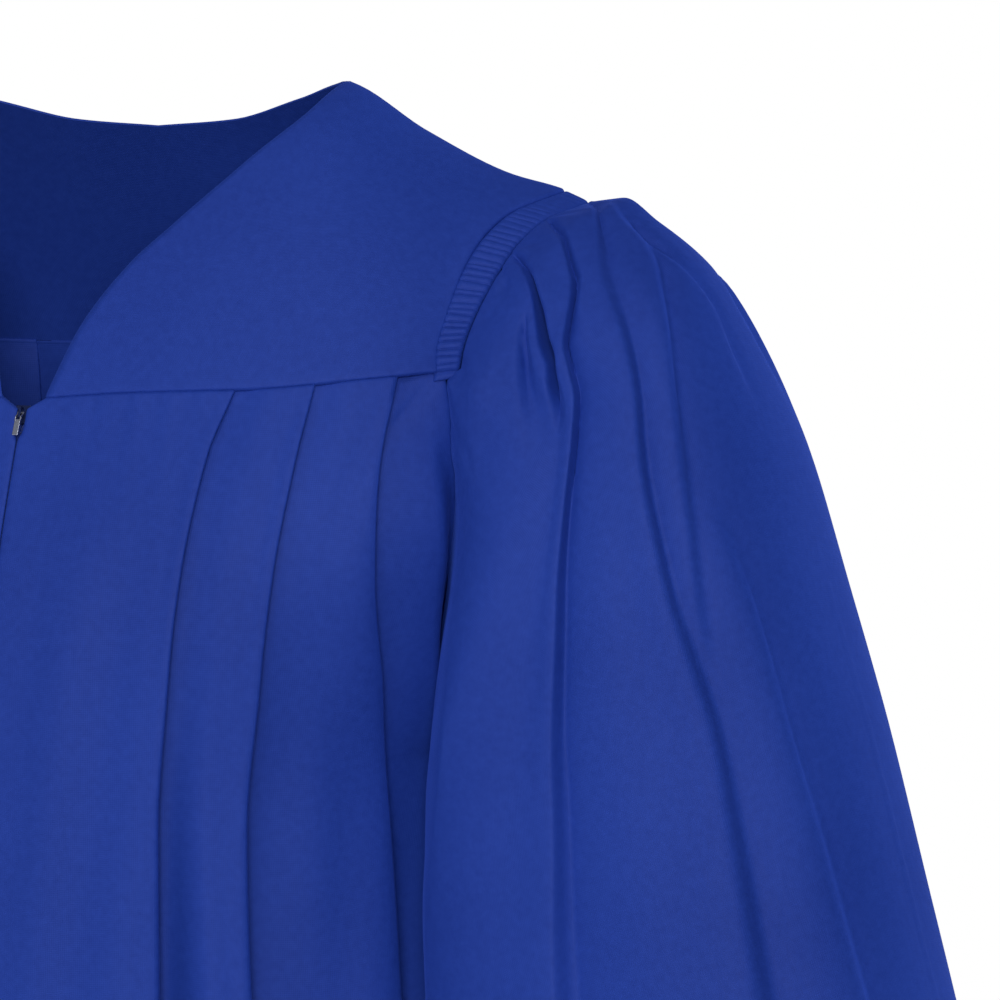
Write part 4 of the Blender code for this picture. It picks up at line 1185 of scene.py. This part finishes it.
def nearest_on_path(x, y, path_x, path_y):
    """How far off a path each place is, how far along it, and whether it is in front of it."""
    nearest = np.full(x.shape, 1e9)
    along = np.zeros(x.shape)
    in_front = np.zeros(x.shape, bool)
    for i in range(len(path_x) - 1):
        step_x = path_x[i + 1] - path_x[i]
        step_y = path_y[i + 1] - path_y[i]
        off_x = x - path_x[i]
        off_y = y - path_y[i]
        t = np.clip((off_x * step_x + off_y * step_y) / (step_x**2 + step_y**2), 0, 1)
        apart = np.hypot(off_x - t * step_x, off_y - t * step_y)
        nearer = apart < nearest
        nearest = np.where(nearer, apart, nearest)
        along = np.where(nearer, i + t, along)
        in_front = np.where(nearer, off_x * step_y - off_y * step_x > 0, in_front)
    return nearest, along, in_front


def folded(points, normal, rows, around, folds, flip, strength, drift):
    """How far folds pressed into the sleeve move it; flip puts the front's on the back."""
    side = -1 if flip else 1
    around_way = np.roll(points, -1, axis=1) - points
    step_round = np.linalg.norm(around_way, axis=2)
    girth = step_round.sum(axis=1)
    tangent = side * around_way / np.maximum(step_round, 1e-6)[..., None]
    signed = around * side
    down = run_over(points)
    depth = np.zeros(points.shape[:2])
    shift = np.zeros(points.shape[:2])
    for fold in folds:
        sections = np.linspace(fold.rows[0, 0], fold.rows[-1, 0], FOLD_STEPS)
        at = {column: fold.at(column, sections) for column in fold.columns}
        at["around"] = at["around"] + drift * ease(sections / 2)
        row_at = np.interp(sections, rows, np.arange(len(rows)))
        low = np.floor(row_at).astype(int)
        high = np.minimum(low + 1, len(rows) - 1)
        runs = []
        for row in (low, high):
            runs.append([np.interp(a, signed[r][::side], down[r][::side])
                         for a, r in zip(at["around"], row)])
        path_y = runs[0] + (row_at - low) * (np.array(runs[1]) - runs[0])
        path_x = at["around"] * np.interp(sections, rows, girth)
        nearest, along, in_front = nearest_on_path(signed * girth[:, None], down, path_x, path_y)
        here = {column: np.interp(along, np.arange(FOLD_STEPS), at[column]) for column in fold.columns}
        width = np.where(in_front, here["front"], here["back"])
        inside = np.clip(1 - nearest / width, 0, 1)
        # Long folds fall away slowly behind, as cloth that hangs between two of them does
        cut = here["cut"] if fold in POCKETS else np.where(in_front, here["cut"], 1)
        groove = (1 - cut) * ease(inside) + cut * inside**2
        lip = np.where(in_front, here["front_lip"], here["back_lip"])
        past_lip = nearest / width - LIP_PLACE
        ridge = lip * np.exp(-(past_lip / np.where(past_lip < 0, LIP_RISE, LIP_FALL)) ** 2)
        depth += here["depth"] * groove - ridge
        shift += FOLD_ROLL * ridge * np.minimum(2 * here["cut"], 1) * np.where(in_front, -1, 1)
    # The seam with the band holds the folds back
    near_seam = 0.3 + 0.7 * ease(down / 5)
    return (tangent * shift[..., None] - normal * depth[..., None]) * (strength * near_seam)[..., None]


# How strong a sleeve's folds are and how far they drift, front and back
FOLD_STRENGTH = {
    LEFT: ((1.0, 0.0), (0.8, 0.012)),
    RIGHT: ((0.92, 0.008), (0.85, -0.006)),
}
FRONT_FULLNESS_WAY = (0.25, -0.97, 0)
BACK_FULLNESS_WAY = (0.2, 0.78, 0)
GATHER_HEIGHT = 0.4         # of the small gathers below the band
GATHER_DROP = 12            # how far down they die away
GATHERS_ROUND = 60          # how many there would be all the way round
GATHERED_PART = 0.34        # how far round they reach from the outside, as a part of the way


def edge_fullness(rows, around):
    """How far out the sleeve's edge beside the body stands, at parts of the way round."""
    out = []
    for section, parts in zip(rows, around):
        fold, ridge, reach = (float(EDGE_FULLNESS.at(name, section)) for name in ("fold", "ridge", "out"))
        risen = np.clip((parts - fold) / (ridge - fold), 0, 1) ** 1.2
        out.append(reach * risen * ease(1 - (parts - ridge) / EDGE_FALL))
    return np.array(out)[..., None]


def make_sleeve(name, hand, seed):
    """Rows run down from the armhole to the cuff, columns all the way round."""
    front, back = FOLD_STRENGTH[hand]
    rows = sleeve_rows()
    around = sleeve_columns(rows, front[1], back[1])
    grid = []
    for section, parts in zip(rows, around):
        wrapped = parts % 1
        points = sleeve_section(section, wrapped)
        settle = ease(1 - section / HEAD_BLEND)
        points = points + (armhole_ring(wrapped) - sleeve_section(0, wrapped)) * settle
        grid.append(clear_of_body(points, section) if section > 0 else points)
    points = np.array(grid) + edge_fullness(rows, around) * FRONT_FULLNESS_WAY
    points = points + edge_fullness(rows, -around) * BACK_FULLNESS_WAY
    normal = grid_normals(points, points.mean(axis=1, keepdims=True), closed=True)
    moved = folded(points, normal, rows, around, SLEEVE_FOLDS + (PRESS_LINE,), False, *front)
    points = points + moved + folded(points, normal, rows, around, SLEEVE_FOLDS, True, *back)
    run = run_over(points)
    upper = ease((GATHERED_PART - np.abs(around)) / 0.1)
    gathers = GATHER_HEIGHT * np.exp(-run / GATHER_DROP) * ripple(around * GATHERS_ROUND, seed) * upper
    tuck = np.interp(run, TUCK_PLACES, HEAD_SEAM_DEPTHS)
    points = points + normal * (gathers * ease(run / 3) - tuck)[..., None]
    points = turned_up(points, CUFF_TURN, points.mean(axis=1, keepdims=True), closed=True)
    points = mirrored(points, hand)
    within = points.reshape(-1, 3).mean(axis=0)
    return cloth(name, points, PANEL_CLOTH, GOWN_CLOTH, within, closed=True)


# Zip

TOOTH_PITCH = 1.5
TOOTH = (2.0, 1.0, 0.6)     # how far a tooth is stretched across, out and down
TOOTH_RADIUS = 0.55
TOOTH_ASIDE = 0.6           # from the middle, so that it crosses to its neighbours opposite
FIRST_TOOTH_DROP = 145.0
TAPE_TOP_DROP = 138.4
TAPE_BEHIND = 1.75          # from a front's middle surface back to the tape's
TAPE_BEHIND_SLIDER = 3.37   # the same beside the slider
TAPE_WAYS = np.array([0.35, 0.9, 1.7, 2.6, 5.0, 9.0, 12.4, 13.0])           # columns from the middle
TAPE_RAISED = np.array([0.12, 0.12, 0.0, 0.0, 0.0, 0.0, 0.06, 0.06])        # its thicker edges
SLIDER_DROP = 139
SLIDER_TILT = 23.2
SLIDER_FOOT_DROP = 160      # by here the tapes are back behind the fronts
PLATE_BEVEL = 0.18
BAR_BEVEL = 0.12


def tape_back(drop):
    """How far behind a front's middle surface the tapes lie."""
    lift = ease((SLIDER_FOOT_DROP - np.asarray(drop, float)) / 14)
    return TAPE_BEHIND + (TAPE_BEHIND_SLIDER - TAPE_BEHIND) * lift


def make_tape(name, hand):
    """Rows run down the zip, columns out from its middle."""
    drops = np.concatenate([np.linspace(TAPE_TOP_DROP, SLIDER_FOOT_DROP, 16),
                            np.linspace(SLIDER_FOOT_DROP, ZIP_FOOT_DROP, 90)[1:]])
    chart = CHARTS[FRONT]
    grid = []
    for drop in drops:
        back_way = chart.outward(drop, TAPE_WAYS) * (tape_back(drop) - TAPE_RAISED)[:, None]
        grid.append(chart.point(drop, TAPE_WAYS) - back_way)
    return cloth(name, mirrored(np.array(grid), hand), TAPE_CLOTH, TAPE_WEAVE, (0, 0, -500))


def behind_zip(drop):
    """The tapes' middle at a drop."""
    chart = CHARTS[FRONT]
    return chart.point(drop, 0.0)[0] - chart.outward(drop, 0.0)[0] * float(tape_back(drop))


def make_coil(name, hand):
    """One tape's row of teeth, each crossing the middle to its neighbours opposite."""
    form = bmesh.new()
    across = np.array([1.0, 0.0, 0.0])
    drop = FIRST_TOOTH_DROP + (0.5 if hand == RIGHT else 0.0) * TOOTH_PITCH
    while drop < ZIP_FOOT_DROP - 4:
        here = behind_zip(drop)
        down = behind_zip(drop + 1) - here
        down = down / np.linalg.norm(down)
        turn = Matrix(np.array([across, np.cross(across, down), down]).T.tolist())
        stretched = turn @ Matrix.Diagonal(Vector(TOOTH) * MM)
        place = Matrix.Translation((here + across * hand * TOOTH_ASIDE) * MM) @ stretched.to_4x4()
        bmesh.ops.create_icosphere(form, subdivisions=1, radius=TOOTH_RADIUS, matrix=place)
        drop += TOOTH_PITCH
    bmesh.ops.recalc_face_normals(form, faces=form.faces)
    return keep(name, form, COIL_NYLON)


def slider_place(down, out, across=0.0):
    """A place by the slider, down the chest and out of it from the slider's middle."""
    tilt = math.radians(SLIDER_TILT)
    middle = body_at(FRONT, SLIDER_DROP, 0.0)
    down_way = np.array([0, -math.sin(tilt), -math.cos(tilt)])
    out_way = np.array([0, -math.cos(tilt), math.sin(tilt)])
    return (middle + down_way * down + out_way * out + np.array([across, 0, 0])) * MM


def raised(form, outline, step, bevel):
    """A bar with this outline, pushed out by a step, with its edges rounded."""
    corners = [form.verts.new(place) for place in outline]
    grown = bmesh.ops.extrude_face_region(form, geom=[form.faces.new(corners)])
    tips = [item for item in grown["geom"] if isinstance(item, bmesh.types.BMVert)]
    bmesh.ops.translate(form, verts=tips, vec=step)
    verts = set(corners) | set(tips)
    edges = [edge for edge in form.edges if all(vert in verts for vert in edge.verts)]
    bmesh.ops.bevel(form, geom=edges, offset=bevel * MM, segments=2, profile=0.5, affect="EDGES",
                    material=-1)


def slab(form, outline, behind, front):
    """A flat part with an outline of (across, down) places, from one face to the other."""
    step = Vector(slider_place(0, front)) - Vector(slider_place(0, behind))
    raised(form, [slider_place(down, behind, across) for across, down in outline], step, PLATE_BEVEL)


def profile_bar(form, profile, half_width, across=0.0, bevel=BAR_BEVEL):
    """A bar whose outline is (down, out) places, as wide as stated."""
    side = [slider_place(down, out, across - half_width) for down, out in profile]
    raised(form, side, (2 * half_width * MM, 0, 0), bevel)


def make_slider(name):
    """Two plates with the tapes between them, the post that joins them, and the staple."""
    form = bmesh.new()
    plate = [(-3.3, -3.9), (3.3, -3.9), (3.4, -0.5), (2.2, 4.3), (-2.2, 4.3), (-3.4, -0.5)]
    post = [(-3.8, -4.5), (-3.8, -1.7), (-2.2, -1.7), (-2.2, -4.5)]
    staple = [(-2.7, -1.5), (-2.7, 1.6), (-2.3, 2.0), (2.3, 2.0), (2.7, 1.6), (2.7, -1.5),
              (1.8, -1.5), (1.8, 1.2), (-1.8, 1.2), (-1.8, -1.5)]
    slab(form, plate, -2.2, -1.0)
    slab(form, plate, -5.2, -4.0)
    profile_bar(form, post, 0.9)
    profile_bar(form, staple, 0.5)
    bmesh.ops.recalc_face_normals(form, faces=form.faces)
    return keep(name, form, SLIDER_METAL)


PULL_TILT = math.radians(3)
PIN_OUT = 0.25              # from the slider's middle surface out to the pull's pin
BLADE_LIFT = 1.55           # how far further out the blade lies, clear of the staple


def pull_place(along, off):
    """A place on the pull: along it from the pin, and off its middle."""
    lifted = off + float(ease(along / 2.6)) * BLADE_LIFT
    return (along * math.cos(PULL_TILT) - lifted * math.sin(PULL_TILT),
            PIN_OUT + along * math.sin(PULL_TILT) + lifted * math.cos(PULL_TILT))


def make_pull(name):
    """A slim tab: a pin under the staple, two arms and a blade that hangs down."""
    def strip(half, *stations):
        return [pull_place(s, -half) for s in stations] + [pull_place(s, half) for s in stations[::-1]]

    form = bmesh.new()
    profile_bar(form, strip(0.38, -0.38, 0.38), 1.2, bevel=0.25)
    for side in (LEFT, RIGHT):
        profile_bar(form, strip(0.43, -0.45, 0.45, 1.0, 1.5, 2.1, 2.6, 4.4), 0.275, side * 1.1)
    profile_bar(form, strip(0.40, 3.6, 5.0, 9.6, 10.8), 1.3, bevel=0.25)
    bmesh.ops.recalc_face_normals(form, faces=form.faces)
    return keep(name, form, PULL_METAL)


# Making


pieces = {}
for word, hand in HANDS.items():
    pieces["front_yoke_" + word] = make_front_yoke("front_yoke_%s_cloth" % word, hand)
    pieces["front_" + word] = make_front("front_%s_cloth" % word, hand)
    pieces["fluting_" + word] = make_fluting("fluting_%s_cloth" % word, hand, 5 + hand)
    pieces["sleeve_" + word] = make_sleeve("sleeve_%s_cloth" % word, hand, 21 + hand)
    pieces["zip_tape_" + word] = make_tape("zip_tape_%s_weave" % word, hand)
    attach(make_coil("zip_coil_" + word, hand), "gown")
pieces["back_yoke"] = make_back_yoke("back_yoke_cloth")
pieces["back"] = make_back("back_cloth")
pieces["zip_slider"] = make_slider("zip_slider_metal")
pieces["zip_pull"] = make_pull("zip_pull_metal")
for node, piece in pieces.items():
    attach(piece, "pull_tab" if node == "zip_pull" else "gown")
    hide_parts(node)


# Camera, floor and light

CAMERA_AZIMUTH = 20
CAMERA_ELEVATION = 4
CAMERA_DISTANCE = 2400
MM_TO_A_PIXEL = 0.42
ANCHOR = np.array([0.0, -104.0, -137.0])        # the foot of the V on the gown
ANCHOR_PIXEL = (24, 408)                        # and where the frame shows it
FRAME_PIXELS = 1000

turn = math.radians(CAMERA_AZIMUTH)
rise = math.radians(CAMERA_ELEVATION)
back_way = np.array([math.sin(turn) * math.cos(rise), -math.cos(turn) * math.cos(rise), math.sin(rise)])
right_way = np.array([math.cos(turn), math.sin(turn), 0.0])
up_way = np.cross(back_way, right_way)
aside = (ANCHOR_PIXEL[0] - FRAME_PIXELS / 2) * MM_TO_A_PIXEL
below = (ANCHOR_PIXEL[1] - FRAME_PIXELS / 2) * MM_TO_A_PIXEL
eye = ANCHOR - aside * right_way + below * up_way + CAMERA_DISTANCE * back_way
lens = bpy.data.cameras.new("camera")
lens.sensor_width = 36
lens.lens = CAMERA_DISTANCE / MM_TO_A_PIXEL / FRAME_PIXELS * lens.sensor_width
lens.clip_start = 0.1
lens.clip_end = 60
camera = bpy.data.objects.new("camera", lens)
camera.matrix_world = Matrix.Translation(eye * MM) @ Matrix(
    np.array([right_way, up_way, back_way]).T.tolist()).to_4x4()
bpy.context.scene.collection.objects.link(camera)
bpy.context.scene.camera = camera

# A pale, matte floor, well below the hem
floor_form = bmesh.new()
bmesh.ops.create_circle(floor_form, cap_ends=True, segments=96, radius=2.6,
                        matrix=Matrix.Translation((0, 0, -1.42)))
floor_material, _, _ = new_material("pale_floor", Roughness=0.9, Base_Color=linear("#E9E9EA"))
floor = keep("floor", floor_form, floor_material)

# Each lamp's name, place, size and power. The key is in front, to the wearer's left; the
# rim lights the sleeve's edge from behind without a shine.
LAMPS = (
    ("key", (1.1, -2.8, 0.3), 0.9, 43),
    ("fill", (-1.7, -2.4, 0.2), 1.6, 9),
    ("top", (0.3, -2.0, 2.0), 0.9, 17),
    ("rim", (1.91, 2.16, 0.68), 1.2, 55),
)
LIT_PLACE = Vector((0.1, 0, -0.35))
for name, place, size, power in LAMPS:
    light = bpy.data.lights.new(name, "AREA")
    light.shape = "DISK"
    light.size = size
    light.energy = power
    lamp = bpy.data.objects.new(name, light)
    lamp.location = place
    lamp.rotation_mode = "QUATERNION"
    lamp.rotation_quaternion = (LIT_PLACE - Vector(place)).to_track_quat("-Z", "Y")
    lamp.visible_glossy = name != "rim"
    bpy.context.scene.collection.objects.link(lamp)

# The camera sees a white surround, which lights the gown far less than it shows
world = bpy.data.worlds.new("studio")
world.use_nodes = True
bpy.context.scene.world = world
sky = world.node_tree
sky.nodes.clear()
seen = add_node(sky, "ShaderNodeBackground", {"Color": (1, 1, 1, 1), "Strength": 1.0})
lit = add_node(sky, "ShaderNodeBackground", {"Color": (1, 1, 1, 1), "Strength": 0.17})
rays = add_node(sky, "ShaderNodeLightPath", {})
either = add_node(sky, "ShaderNodeMixShader", {0: rays.outputs["Is Camera Ray"], 1: lit.outputs[0],
                                               2: seen.outputs[0]})
add_node(sky, "ShaderNodeOutputWorld", {"Surface": either.outputs[0]})
bpy.context.scene.view_settings.view_transform = "Standard"
